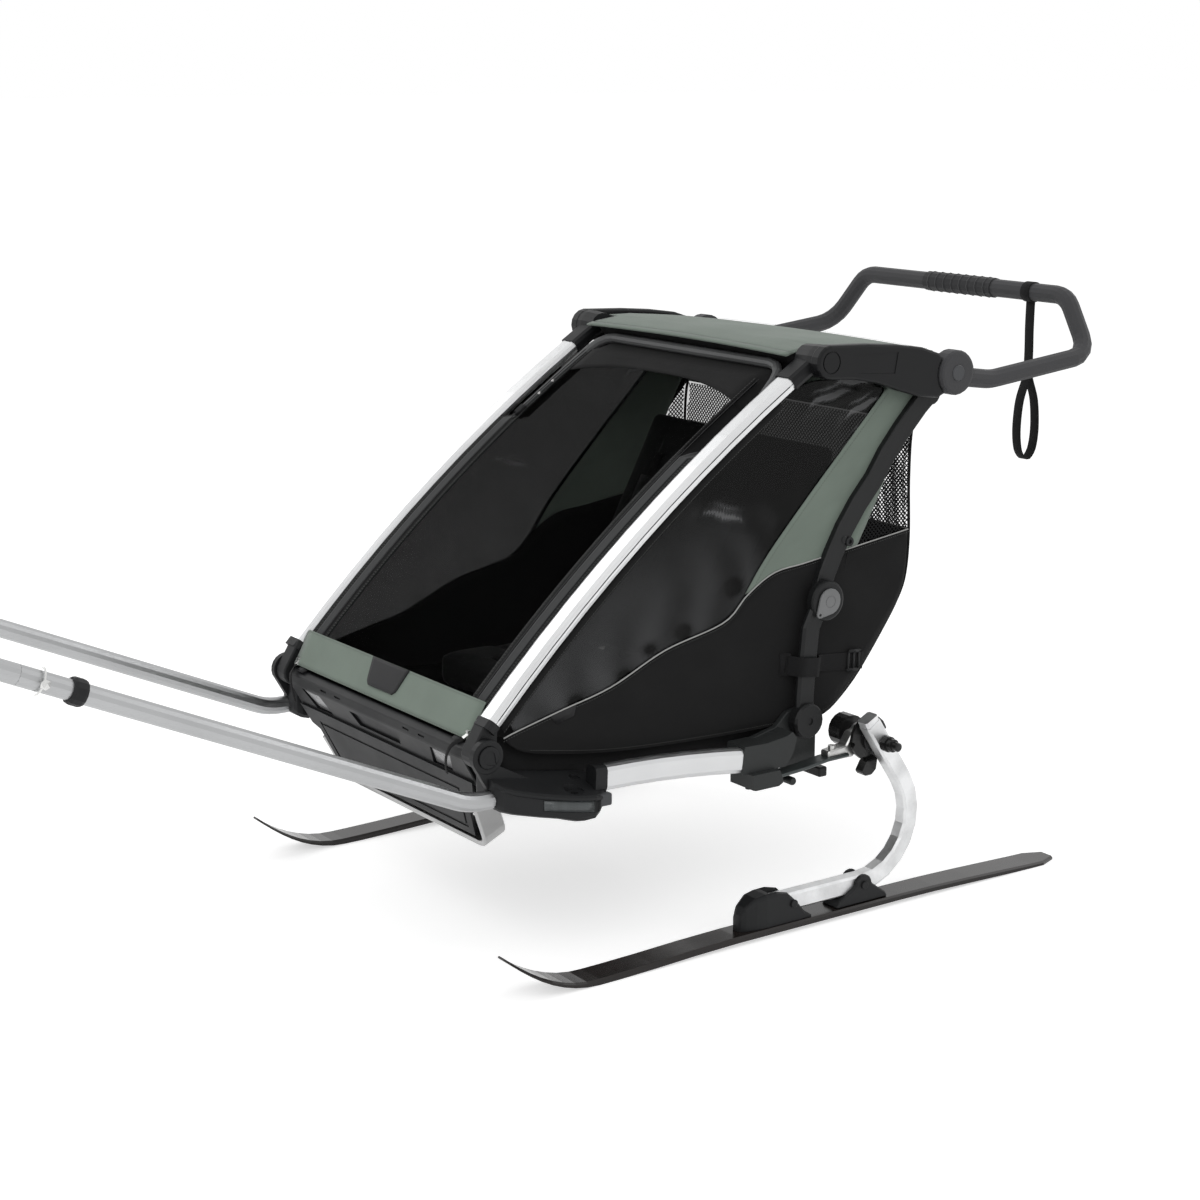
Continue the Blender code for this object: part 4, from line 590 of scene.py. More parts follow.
def mesh_from(name, body):
    """Turn a bmesh into a mesh."""
    mesh = bpy.data.meshes.new(name)
    body.to_mesh(mesh)
    body.free()
    return mesh


def new_piece(name, mesh, material, sharp=None):
    """A piece with one material and smooth faces; edges above the sharp angle stay crisp."""
    piece = in_scene(name, mesh)
    mesh.materials.append(material)
    mesh.shade_smooth()
    if sharp:
        mesh.set_sharp_from_angle(angle=math.radians(sharp))
    return piece


def add_cell(body, uv, grid, corners, across, down):
    """One face of a grid, with its place in the UV map; grid wraps round."""
    count = len(grid)
    face = body.faces.new([grid[r % count][s % len(grid[0])] for r, s in corners])
    for loop, (r, s) in zip(face.loops, corners):
        loop[uv].uv = (across[s], down[r])


def cell_corners(i, j):
    return ((i, j), (i, j + 1), (i + 1, j + 1), (i + 1, j))


def sheet_piece(name, rows, material, thickness=0.0012):
    """A sheet through rows of points, with a UV map in metres and a solid thickness."""
    body = bmesh.new()
    uv = body.loops.layers.uv.new("cloth")
    grid = [[body.verts.new(p) for p in row] for row in rows]
    middle = rows[len(rows) // 2]
    across = distances(middle)
    down = distances([row[len(middle) // 2] for row in rows])
    for i in range(len(rows) - 1):
        for j in range(len(middle) - 1):
            corners = cell_corners(i, j)
            if len({tuple(round(c, 6) for c in grid[r][s].co) for r, s in corners}) == 4:
                add_cell(body, uv, grid, corners, across, down)
    bmesh.ops.delete(body, geom=[v for v in body.verts if not v.link_faces], context="VERTS")
    piece = new_piece(name, mesh_from(name, body), material)
    wall = piece.modifiers.new("thickness", "SOLIDIFY")
    wall.thickness = thickness
    wall.offset = 0.0
    return piece


def sweep(name, path, section, facing, material, closed=False, sharp=None):
    """Skin a section along a path; the section's second axis stays near facing."""
    body = bmesh.new()
    uv = body.loops.layers.uv.new("cloth")
    count = len(path)
    rings = []
    for index, point in enumerate(path):
        before = path[index - 1] if index or closed else path[0]
        after = path[(index + 1) % count] if index < count - 1 or closed else path[-1]
        along = (after - before).normalized()
        up = Vector(facing[index]) if isinstance(facing, list) else Vector(facing)
        up = (up - along * up.dot(along)).normalized()
        side_way = along.cross(up)
        rings.append([body.verts.new(point + side_way * u + up * v) for u, v in section])
    around = [0.0]
    for a, b in zip(section, section[1:] + section[:1]):
        around.append(around[-1] + math.dist(a, b))
    down = distances(path + path[:1])
    for i in range(count if closed else count - 1):
        for j in range(len(section)):
            add_cell(body, uv, rings, cell_corners(i, j), around, down)
    if not closed:
        body.faces.new(rings[0])
        body.faces.new(rings[-1])
    bmesh.ops.recalc_face_normals(body, faces=body.faces)
    return new_piece(name, mesh_from(name, body), material, sharp)


def webbing(name, path, width, facing, thickness=0.0014, closed=False):
    """Flat woven strap whose edges are a little rounded."""
    w, t = width / 2, thickness / 2
    section = [(-w, -t * 0.4), (-w + t, -t), (w - t, -t), (w, -t * 0.4), (w, t * 0.4), (w - t, t), (-w + t, t),
               (-w, t * 0.4)]
    return sweep(name, path, section, facing, WEBBING, closed)


def wedge(low, high, half):
    """Flat section; low and high are the half widths of its two faces."""
    return [(-low, -half), (low, -half), (high, half), (-high, half)]


def round_cord(name, path, radius, material, facing=(1, 0, 0), sides=8):
    section = [(radius * math.cos(math.tau * k / sides), radius * math.sin(math.tau * k / sides))
               for k in range(sides)]
    return sweep(name, path, section, facing, material)


def plate(name, outline, x_low, x_high, side, material, soft=0.0008):
    """Flat patch with soft edges in the side plane; outline is a list of (y, z)."""
    body = bmesh.new()
    low = [body.verts.new((side * x_low, y, z)) for y, z in outline]
    top = [body.verts.new((side * x_high, y, z)) for y, z in outline]
    body.faces.new(low)
    body.faces.new(top)
    for k in range(len(outline)):
        n = (k + 1) % len(outline)
        body.faces.new((low[k], low[n], top[n], top[k]))
    bmesh.ops.recalc_face_normals(body, faces=body.faces)
    bmesh.ops.bevel(body, geom=list(body.edges), offset=soft, segments=2, affect="EDGES")
    return new_piece(name, mesh_from(name, body), material)


def joined(name, pieces):
    """Several meshes of one material as one piece."""
    body = bmesh.new()
    material = pieces[0].data.materials[0]
    for piece in pieces:
        body.from_mesh(piece.data)
        bpy.data.objects.remove(piece, do_unlink=True)
    return new_piece(name, mesh_from(name, body), material)


print("sewing makers ready")

# %% [markdown]
# ## Where the side and rear cloth stays
# The front tubes swing down about the front pivot when the trailer folds. The side and rear
# cloth is sewn to the body below and to the tubes and roof above. The two helpers below only
# bake each piece's place into its mesh; the cloth does not bend when the trailer folds.


def bends_with_side(piece):
    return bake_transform(piece)


def bends_upright(piece):
    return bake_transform(piece)


# %% [markdown]
# ## Repeated small things
# Geometry Nodes places what repeats. One tree makes stitches: it walks along a line, and at
# every step lays a short bead that points along the line. Another makes screw heads with a
# hexagon socket on given points.

# %% Geometry Nodes helpers
def tree_with(name, sizes):
    """A node tree that takes a geometry, named sizes and a finish, and gives a geometry."""
    tree = bpy.data.node_groups.new(name, "GeometryNodeTree")
    for way in ("INPUT", "OUTPUT"):
        tree.interface.new_socket("Geometry", in_out=way, socket_type="NodeSocketGeometry")
    for label, value in sizes.items():
        tree.interface.new_socket(label, in_out="INPUT", socket_type="NodeSocketFloat").default_value = value
    tree.interface.new_socket("Finish", in_out="INPUT", socket_type="NodeSocketMaterial")
    return tree, add(tree, "NodeGroupInput").outputs


def end_tree(tree, inputs, geometry):
    """Realize the instances and give them their finish."""
    real = add(tree, "GeometryNodeRealizeInstances", {"Geometry": geometry}).outputs["Geometry"]
    paint = add(tree, "GeometryNodeSetMaterial", {"Geometry": real, "Material": inputs["Finish"]})
    add(tree, "NodeGroupOutput", {"Geometry": paint.outputs["Geometry"]})


def placed(tree, points, shape, way):
    """One copy of the shape on every point, with its Z axis turned along way."""
    turn = add(tree, "FunctionNodeAlignRotationToVector", {"Vector": way}, axis="Z").outputs["Rotation"]
    return add(tree, "GeometryNodeInstanceOnPoints", {"Points": points, "Instance": shape,
                                                      "Rotation": turn}).outputs["Instances"]


def grown(name, base, tree, values, material):
    """Run a tree on a base mesh and return the result as a plain mesh piece."""
    source = in_scene(name + "_base", base)
    modifier = source.modifiers.new("grow", "NODES")
    modifier.node_group = tree
    values = {**values, "Finish": material}
    for item in tree.interface.items_tree:
        if item.in_out == "INPUT" and item.name in values:
            modifier[item.identifier] = values[item.name]
    depsgraph = bpy.context.evaluated_depsgraph_get()
    mesh = bpy.data.meshes.new_from_object(source.evaluated_get(depsgraph))
    mesh.name = name
    bpy.data.objects.remove(source, do_unlink=True)
    piece = in_scene(name, mesh)
    mesh.shade_smooth()
    mesh.set_sharp_from_angle(angle=math.radians(40))
    return piece


def line_mesh(name, lines):
    """Open chains of edges, one for each line of points."""
    points, edges = [], []
    for line in lines:
        first = len(points)
        points += [tuple(p) for p in line]
        edges += [(first + k, first + k + 1) for k in range(len(line) - 1)]
    return mesh_of(name, points, edges)


print("tree helpers ready")

# %% Stitches: lines in, rows of beads out
STITCHES, sizes = tree_with("stitches", {"Spacing": 0.004, "Length": 0.0026, "Radius": 0.00035})
curve = add(STITCHES, "GeometryNodeMeshToCurve", {"Mesh": sizes["Geometry"]}).outputs["Curve"]
steps = add(STITCHES, "GeometryNodeResampleCurve", {"Curve": curve, "Length": sizes["Spacing"]}, mode="LENGTH")
bead = add(STITCHES, "GeometryNodeMeshUVSphere", {"Segments": 5, "Rings": 3, "Radius": sizes["Radius"]})
stretch = maths(STITCHES, "DIVIDE", sizes["Length"], maths(STITCHES, "MULTIPLY", sizes["Radius"], 2.0))
size = add(STITCHES, "ShaderNodeCombineXYZ", {"X": 1.0, "Y": 1.0, "Z": stretch}).outputs["Vector"]
shape = add(STITCHES, "GeometryNodeTransform", {"Geometry": bead.outputs["Mesh"], "Scale": size})
tangent = add(STITCHES, "GeometryNodeInputTangent").outputs["Tangent"]
end_tree(STITCHES, sizes, placed(STITCHES, steps.outputs["Curve"], shape.outputs["Geometry"], tangent))


def stitches(name, lines, spacing=0.0045, length=0.003, radius=0.00035, material=THREAD):
    values = {"Spacing": spacing, "Length": length, "Radius": radius}
    return grown(name, line_mesh(name, lines), STITCHES, values, material)


print("tree", STITCHES.name, "has", len(STITCHES.nodes), "nodes")

# %% Net: lines in, thin square cords out
NET_RADIUS = 0.00115
NET, sizes = tree_with("net_cords", {"Radius": 0.0005})
curve = add(NET, "GeometryNodeMeshToCurve", {"Mesh": sizes["Geometry"]}).outputs["Curve"]
ring = add(NET, "GeometryNodeCurvePrimitiveCircle", {"Resolution": 4, "Radius": sizes["Radius"]}).outputs["Curve"]
tube = add(NET, "GeometryNodeCurveToMesh", {"Curve": curve, "Profile Curve": ring, "Fill Caps": True})
end_tree(NET, sizes, tube.outputs["Mesh"])


def net_piece(name, lines):
    return grown(name, line_mesh(name, lines), NET, {"Radius": NET_RADIUS}, NET_CORD)


print("tree", NET.name, "has", len(NET.nodes), "nodes")

# %% Screws: points with a facing direction in, heads with a hexagon socket out
SCREWS, sizes = tree_with("screw_heads", {"Radius": 0.004, "Height": 0.0022, "Socket": 0.002})
head = add(SCREWS, "GeometryNodeMeshCylinder", {"Vertices": 16, "Radius": sizes["Radius"], "Depth": sizes["Height"]})
hexagon = add(SCREWS, "GeometryNodeMeshCylinder", {"Vertices": 6, "Radius": sizes["Socket"],
                                                   "Depth": sizes["Height"]})
up = add(SCREWS, "ShaderNodeCombineXYZ", {"Z": maths(SCREWS, "MULTIPLY", sizes["Height"], 0.5)}).outputs["Vector"]
lifted = add(SCREWS, "GeometryNodeTransform", {"Geometry": hexagon.outputs["Mesh"], "Translation": up})
cut = add(SCREWS, "GeometryNodeMeshBoolean", {"Mesh 1": head.outputs["Mesh"], "Mesh 2": lifted.outputs["Geometry"]},
          operation="DIFFERENCE")
facing = add(SCREWS, "GeometryNodeInputNamedAttribute", {"Name": "facing"}, data_type="FLOAT_VECTOR")
end_tree(SCREWS, sizes, placed(SCREWS, sizes["Geometry"], cut.outputs["Mesh"], facing.outputs["Attribute"]))


def screws(name, places, radius, height, material):
    """places holds (point, facing) pairs."""
    mesh = mesh_of(name, [tuple(point) for point, way in places])
    ways = mesh.attributes.new("facing", "FLOAT_VECTOR", "POINT")
    ways.data.foreach_set("vector", [c for point, way in places for c in way])
    return grown(name, mesh, SCREWS, {"Radius": radius, "Height": height, "Socket": radius * 0.5}, material)


print("tree", SCREWS.name, "has", len(SCREWS.nodes), "nodes")

# %% [markdown]
# ## The roof
# One cloth sheet is stretched from the hoop at its front to the bar behind, between the two
# moulded covers. It is a grid with a slight crown and a slack middle, and its front edge is
# folded over and sewn, so a narrow hem lies on it with a row of stitches.

# %% Roof cloth
ROOF_ROWS = [(0.788, 0.865), (0.81, 0.8712), (0.845, 0.8757), (0.852, 0.8759), (0.856, 0.876),
             (0.9, 0.8757), (0.95, 0.8713), (0.99, 0.8672), (1.03, 0.8622), (1.061, 0.8572)]


def roof_point(y, edge, share, lift=0.0):
    """share runs from -1 at the right edge to 1 at the left."""
    half = 0.2655 if y < 0.854 else 0.2955
    middle = math.sin(math.pi * clamped((y - 0.79) / 0.27))
    slack = 0.0018 * middle * math.cos(share * math.pi * 3.0) * (1 - share * share)
    return Vector((half * share, y, edge + 0.0042 * (1 - share * share) - 0.001 * middle + slack + lift))


def roof_row(y, edge, reach=1.0, lift=0.0):
    """A row of points across the roof."""
    return [roof_point(y, edge, share * reach, lift) for share in shares(16)]


roof_rows = []
for (y0, z0), (y1, z1) in zip(ROOF_ROWS, ROOF_ROWS[1:]):
    steps = 1 if y1 - y0 < 0.01 else 3
    roof_rows += [roof_row(y0 + (y1 - y0) * k / steps, z0 + (z1 - z0) * k / steps) for k in range(steps)]
roof = sheet_piece("roof_cloth", roof_rows + [roof_row(*ROOF_ROWS[-1])], ROOF_CLOTH, THIN)
hem = sheet_piece("roof_hem", [roof_row(y, z, 0.999, 0.0013)
                               for y, z in ((0.7875, 0.8648), (0.794, 0.8668), (0.801, 0.8688))],
                  ROOF_CLOTH, THIN)
roof_thread = stitches("roof_stitches", [roof_row(y, z, 0.985, 0.0024) for y, z in ((0.799, 0.8684),
                                                                                    (1.052, 0.8588))])
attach(roof, "front_frame")
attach(hem, "front_frame")
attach(roof_thread, "front_frame")
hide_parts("roof")
print("roof made of", len(roof.data.polygons), "cells")

# %% [markdown]
# ## The front window
# Dark film fills the front between the tubes. Black cloth frames it, a grey zip band runs up
# both sides, and a green strip closes the bottom down to the crosspiece. The film could be
# one flat pane, but the real one ripples a little, so its grid has slow waves.

# %% Front window film and its frame
FILM_HALF = 0.224
FRONT_HALF = 0.2662
LEG_START = 0.555
STRIP_LINE = flat([(0.2172, 0.3548), (0.2258, 0.369), (0.235, 0.386), (0.2466, 0.4066)])


def front_point(distance, x, lift=0.0):
    return tube_point(distance, 0.002 + lift) + Vector((x, 0, 0))


def film_point(i, x):
    """Point of the film, which dives under the strip at its lower edge."""
    distance = 0.67 * i / 28
    ripple = 0.001 * math.sin(9.0 * distance + 14.0 * x) + 0.0008 * math.sin(23.0 * x - 11.0 * distance)
    return front_point(0.046 + 0.68 * i / 28, x * 1.03,
                       -0.0012 - 0.005 * max(0.0, 1 - i / 2) + ripple * min(1.0, i / 3))


def leg_dip(distance, x, start=LEG_START):
    """The border dives under the roof bar's leg, which lies along the tube."""
    return -0.026 * clamped((abs(x) - 0.2215) / 0.022) ** 0.8 * clamped((distance - start) / 0.015)


def border_piece(name, side, inner, outer, lift, columns, material, thickness):
    rows = []
    for i in range(45):
        distance = 0.05 + 0.682 * i / 44
        xs = [inner + (outer - inner) * j / columns for j in range(columns + 1)]
        rows.append([front_point(distance, side * x, lift + leg_dip(distance, x)) for x in xs])
    return sheet_piece(name, rows, material, thickness)


def arch(share):
    """Distance along the tube of the top border's lower edge; it is lower at the sides."""
    return 0.708 - 0.05 * abs(share) ** 2.6


front_film = sheet_piece("front_film", [[film_point(i, FILM_HALF * share) for share in shares(10)]
                                        for i in range(29)], FRONT_FILM, FOIL)
frame_pieces = []
for label, side in SIDES:
    frame_pieces += [
        border_piece("front_border_" + label, side, 0.2185, FRONT_HALF, 0.0004, 12, DARK_CLOTH, THIN),
        border_piece("zip_band_" + label, side, 0.235, 0.2535, 0.0016, 8, BAND_CLOTH, 0.001)]
TOP_SHARES = sorted(shares(12) + [-0.945, -0.93, 0.93, 0.945])
top_rows = [[front_point(arch(s) + (0.732 - arch(s)) * i / 4, FRONT_HALF * s,
                         0.0002 + leg_dip(0.7, FRONT_HALF * s, 0.6)) for s in TOP_SHARES] for i in range(5)]
for distance, drop in ((0.744, -0.006), (0.76, -0.0125), (0.776, -0.016), (0.788, -0.015)):
    top_rows.append([front_point(distance, 0.262 * s, drop + 0.5 * leg_dip(0.7, 0.262 * s, 0.6)) for s in TOP_SHARES])
top_rows.append([roof_point(0.808, 0.87, s, -0.0022) for s in TOP_SHARES])
frame_pieces.append(sheet_piece("front_top_border", top_rows, DARK_CLOTH, THIN))
print("front window frame", [piece.name for piece in frame_pieces])

# %% Seams and zip teeth of the window
def up_the_front(x, side, count, lift, dips):
    """Line up the front at one distance from the middle."""
    line = [0.052 + 0.676 * i / (count - 1) for i in range(count)]
    return [front_point(distance, side * x, lift + (leg_dip(distance, x) if dips else 0.0)) for distance in line]


front_seams = stitches("front_seams", [up_the_front(x, side, 45, 0.0014, True) for label, side in SIDES
                                       for x in (0.2212, 0.224, 0.2575, 0.2605)], 0.005, 0.0032, 0.00032)
front_zips = stitches("front_zip_teeth", [up_the_front(0.2325, side, 29, 0.0022, False) for label, side in SIDES],
                      0.003, 0.0052, 0.0009, RUBBER)
for piece in [front_film, front_seams, front_zips] + frame_pieces:
    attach(piece, "front_frame")
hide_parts("windshield")
print("front window sewn with", len(front_seams.data.polygons), "faces of thread")

# %% Green strip, bare patch and zip tapes
strip_points = even(STRIP_LINE, 9)


def strip_point(share, x, lift=0.0):
    """Point on the strip; share runs from its lower edge to its upper edge."""
    place = share * (len(strip_points) - 1)
    index = min(int(place), len(strip_points) - 2)
    base = strip_points[index].lerp(strip_points[index + 1], place - index)
    return base + Vector((x, -0.86 * (0.003 + lift), 0.51 * (0.003 + lift)))


strip = sheet_piece("green_strip", [[strip_point(i / 8, 0.2655 * across, 0.0006 * math.sin(j * 1.3))
                                     for j, across in enumerate(shares(14))] for i in range(9)], GREEN_CLOTH, MIDDLE)
patch_rows = []
for i in range(9):
    share = i / 8
    half = 0.0415 + 0.0125 * share - 0.006 * max(0.0, 1 - share * 5) ** 2
    patch_rows.append([strip_point(0.26 + 0.735 * share, half * across, 0.0022) for across in shares(8)])
patch = sheet_piece("strip_patch", patch_rows, RUBBER, 0.002)
strip_thread = stitches("strip_stitches", [[strip_point(share, 0.262 * across, 0.0016) for across in shares(14)]
                                           for share in (0.04, 0.955)])
sill = sheet_piece("front_sill", [[Vector((0.262 * across, y, z)) for across in shares(14)]
                                  for y, z in ((0.2222, 0.357), (0.2262, 0.354), (0.233, 0.35), (0.242, 0.346),
                                               (0.248, 0.334))], DARK_CLOTH, 0.0012)
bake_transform(sill)
for piece in (strip, patch, strip_thread):
    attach(piece, "front_frame")
TAPE_LINE = [(0.257, 0.219, 0.362), (0.2545, 0.2105, 0.356), (0.25, 0.203, 0.352), (0.244, 0.196, 0.344),
             (0.238, 0.1935, 0.33), (0.2345, 0.1945, 0.315), (0.233, 0.197, 0.302)]
tapes = []
for label, side in SIDES:
    path = even(mirrored(TAPE_LINE, side), 18)
    tapes += [webbing("zip_tape_" + label, path, 0.0068, (0, -1, 0.2), thickness=0.0011),
              sweep("zip_slider_" + label, [path[0] + Vector((0, -0.001, 0.006)), path[0], path[2]],
                    wedge(0.0038, 0.003, 0.0018), (0, -1, 0.3), PLATED_STEEL, sharp=30)]
for piece in tapes:
    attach(piece, "front_frame")
print("strip, patch and", len(tapes), "zip pull pieces")

# %% [markdown]
# ## The sides
# Each side is sewn from four main pieces: smoke film, a green strip down the strut, black
# cloth below, and a hem along the tube. A pale piping covers the seam. The pieces are ruled
# grids between two lines, so their edges meet exactly. Where the film is gathered along the
# piping, and where it is pulled at the top, its grid is pushed out in soft folds. A painted
# highlight on the pulled folds and painted shade in the gathers make them show, as on the real one.

# %% Side pieces
def short_lines(pairs):
    return [(Vector(start), Vector(end)) for start, end in pairs]


FOLDS = short_lines([((0.856, 0.816), (0.932, 0.812)), ((0.804, 0.785), (0.902, 0.804)),
                     ((0.883, 0.759), (0.959, 0.788)), ((0.904, 0.718), (0.957, 0.757)),
                     ((0.603, 0.644), (0.694, 0.618))])
# Centres of the painted shade in the gathers along the piping.
GATHER_SHADE_SPOTS = [(0.769, 0.606), (0.799, 0.632), (0.671, 0.526), (0.577, 0.47), (0.513, 0.452), (0.467, 0.417),
           (0.508, 0.415), (0.378, 0.393)]
WINDOW_LOW = PIPING_LINE[1:7] + STRIP_FRONT[1:]
WINDOW_TOP = [tube_point(0.062 + 0.65 * k / 14, -0.012) for k in range(15)] + flat(
    [(0.8, 0.826), (0.85, 0.829), (0.91, 0.823), (0.96, 0.81)])
FINE_PIPING = even(PIPING_LINE, 160)
HEM_LINE = [tube_point(0.046 + 0.656 * k / 20, 0.0) for k in range(21)]


def bell(value):
    return math.exp(-value ** 2)


def ruled(lower, upper, rows, columns, side, push=None, x=SIDE_X):
    """Grid between two lines in the side plane; push gives an outward step."""
    low, high = even(lower, columns), even(upper, columns)
    grid = []
    for i in range(rows):
        row = []
        for j in range(columns):
            point = low[j].lerp(high[j], i / (rows - 1))
            out = push(point, i / (rows - 1), j / (columns - 1)) if push else 0.0
            row.append(Vector((side * (x + out), point.y, point.z)))
        grid.append(row)
    return grid


def share_of(p, a, b):
    """How far along the line from a to b the flat point lies."""
    return (p - a).dot(b - a) / (b - a).length_squared


def away(p, a, b):
    """Distance from a flat point to a short line."""
    return (p - a.lerp(b, clamped(share_of(p, a, b)))).length


def film_push(point, up, along):
    """Gathers along the piping and pulled folds near the top."""
    wave = math.sin(62.0 * along + 2.2 * math.sin(11.0 * along)) + 0.5 * math.sin(105.0 * along + 1.0)
    out = 0.003 * (bell(up / 0.2) * bell((along - 0.42) / 0.22)) * wave
    for index, (start, end) in enumerate(FOLDS):
        fold = bell(away(point.yz, start, end) / 0.011)
        out += 0.0028 * fold * (1 if index % 2 else -1) * min(1.0, up * 5)
    edge = min(1.0, 6 * up, 6 * (1 - up), 8 * along, 8 * (1 - along))
    return max(-0.0042, min(0.0042, out * max(0.0, edge))) - 0.0012


def cloth_push(point, up, along):
    """The lower cloth bellies out a little."""
    return 0.003 * math.sin(math.pi * up) * math.sin(math.pi * along) + 0.0006


def fold_light(p, a, b):
    """Light on a pulled fold: a bent streak that fades and narrows towards both ends."""
    share = share_of(p, a, b)
    across = Vector((a.y - b.y, b.x - a.x)).normalized().dot(p - a)
    swell = max(0.0, math.sin(math.pi * clamped(share))) ** 0.7
    bend = 0.01 * math.sin(math.pi * share) + 0.003 * math.sin(9.0 * share)
    return swell * (bell((across - bend) / (0.0012 + 0.0042 * swell))
                    + 0.45 * bell((across - bend - 0.013) / (0.0012 + 0.003 * swell)))


def painted_film_light(co):
    """Above nought for a painted highlight on a fold, below it for painted shade in a gather and for the folds' painted
    shade along the lower edge.
    """
    painted_highlight = clamped((max(fold_light(co.yz, start, end) for start, end in FOLDS) - 0.16) / 0.34)
    gather_shade = max(bell(math.hypot(co.y - y, (co.z - z) * 1.3) / 0.0135) for y, z in GATHER_SHADE_SPOTS)
    # Painted shade in stripes along the lower edge, where the film is gathered.
    wave = 0.5 + 0.5 * math.sin(70.0 * co.y + 38.0 * co.z + 3.0 * math.sin(19.0 * co.z))
    low = bell((co.z - 0.36 - 0.45 * (co.y - 0.32)) / 0.075)
    return 1.25 * painted_highlight * painted_highlight * (3 - 2 * painted_highlight) - 1.25 * gather_shade - 0.5 * wave * low


side_sets = {}
for label, side in SIDES:
    window = sheet_piece("side_film_" + label, ruled(WINDOW_LOW, WINDOW_TOP, 49, 193, side, film_push), SIDE_FILM,
                         FOIL)
    # The film's own point attribute carries its painted highlights and painted shade.
    painted_light = window.data.attributes.new("painted_light", "FLOAT", "POINT")
    painted_light.data.foreach_set("value", [painted_film_light(vert.co) for vert in window.data.vertices])
    cloth = sheet_piece("side_cloth_" + label, ruled(BOTTOM_LINE, PIPING_LINE, 13, 73, side, cloth_push),
                        BLACK_CLOTH, MIDDLE)
    front = moved(even(STRIP_FRONT + flat([(0.975, 0.81)]), 30), (0, -0.0035, 0.0015))
    green_rows = ruled(front, even(STRIP_REAR, 30), 15, 30, side, x=SIDE_X + 0.001)
    for row in green_rows:
        for point in row:
            point.z = max(point.z, height_at(FINE_PIPING, point.y) - 0.0006)
    green = sheet_piece("side_green_" + label, green_rows, GREEN_CLOTH, THIN)
    hem_rows = ruled(moved(HEM_LINE, -LIFT * 0.0115), moved(HEM_LINE, -LIFT * 0.026), 3, 41, side,
                     x=SIDE_X + 0.0012)
    edge = sheet_piece("side_hem_" + label, hem_rows, DARK_CLOTH, THIN)
    side_sets[label] = {"film": window, "cloth": cloth, "green": green, "hem": edge}
    for piece in side_sets[label].values():
        bends_with_side(piece)
    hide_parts("side_panel_" + label)
print("side pieces", {name: len(piece.data.polygons) for name, piece in side_sets["left"].items()})

# %% [markdown]
# ## Piping, hem stitches and small sewn parts of the side
# Piping is a cord wrapped in pale cloth and caught in the seam, so it stands proud of the
# cloth. The bare tab below it, the seam behind the knee and the stitches follow the same
# lines, a millimetre or so further out.

# %% Piping and stitches
TAB = [(0.333, 0.38), (0.379, 0.3915), (0.3745, 0.374), (0.344, 0.3665)]
SEAM_LINE = flat([(0.893, 0.556), (0.88, 0.5), (0.864, 0.45), (0.848, 0.41)])
for label, side in SIDES:
    pipe = round_cord("side_piping_" + label, at_side(even(PIPING_LINE, 60), side, SIDE_X + 0.0022), 0.0011, PIPING)
    seam = round_cord("knee_seam_" + label, at_side(even(SEAM_LINE, 16), side, SIDE_X + 0.0016), 0.0009, DARK_CLOTH)
    tab = plate("bare_tab_" + label, TAB, SIDE_X + 0.0012, SIDE_X + 0.0034, side, RUBBER)
    thread = stitches("side_stitches_" + label, [
        at_side(moved(even(PIPING_LINE, 60), (0, 0.0008, -0.0046)), side, SIDE_X + 0.0024),
        at_side(even(moved(BOTTOM_LINE[1:9], (0, 0, 0.0045)), 60), side, SIDE_X + 0.0022),
        at_side(even(moved(HEM_LINE, -LIFT * 0.0245), 60), side, SIDE_X + 0.0024),
        at_side(even(moved(STRIP_FRONT, (0, 0.004, -0.001)), 60), side, SIDE_X + 0.0022)])
    for piece in (pipe, seam, tab, thread):
        bends_with_side(piece)
print("piping radius 1.1 mm on both sides")

# %% [markdown]
# ## Net
# The net lets air through behind the children. It is a diamond mesh of thin knotted cord:
# slanting lines are laid in flat coordinates, cut to the outline, and only then placed on
# the cloth surface. The node tree turns each line into a thin cord with real holes between.

# %% Diamond net
REAR_HALF = 0.2905
REAR_LOW, REAR_HIGH = 0.577, 0.748
NET_PITCH = 0.0054
DIAGONAL = 1.4142


def inside(outline, u, v):
    """Is the flat point inside the outline?"""
    hit = False
    for (u0, v0), (u1, v1) in zip(outline, outline[1:] + outline[:1]):
        if (v0 > v) != (v1 > v) and u < u0 + (v - v0) * (u1 - u0) / (v1 - v0):
            hit = not hit
    return hit


def diamond_lines(outline, step):
    """Slanting lines of flat points, both ways, cut to an outline."""
    us, vs = [u for u, v in outline], [v for u, v in outline]
    reach = (max(us) - min(us)) + (max(vs) - min(vs))
    lines = []
    for way in (1, -1):
        for k in range(int(reach * 2 / (NET_PITCH * DIAGONAL)) + 1):
            offset = min(us) - reach + k * NET_PITCH * DIAGONAL
            line = []
            for s in range(int(reach / step)):
                v = min(vs) + s * step
                if v > max(vs):
                    break
                u = offset + (v - min(vs)) if way > 0 else offset + reach - (v - min(vs))
                if inside(outline, u, v):
                    line.append((u, v))
                elif line:
                    break
            if len(line) > 1:
                lines.append(line)
    return lines


def rear_at(z):
    """Point of the rear outline at one height, in the plane x = 0."""
    for a, b in zip(REAR_LINE, REAR_LINE[1:]):
        if b.z <= z <= a.z:
            return a.lerp(b, (a.z - z) / (a.z - b.z))
    return REAR_LINE[0] if z > REAR_LINE[0].z else REAR_LINE[-1]


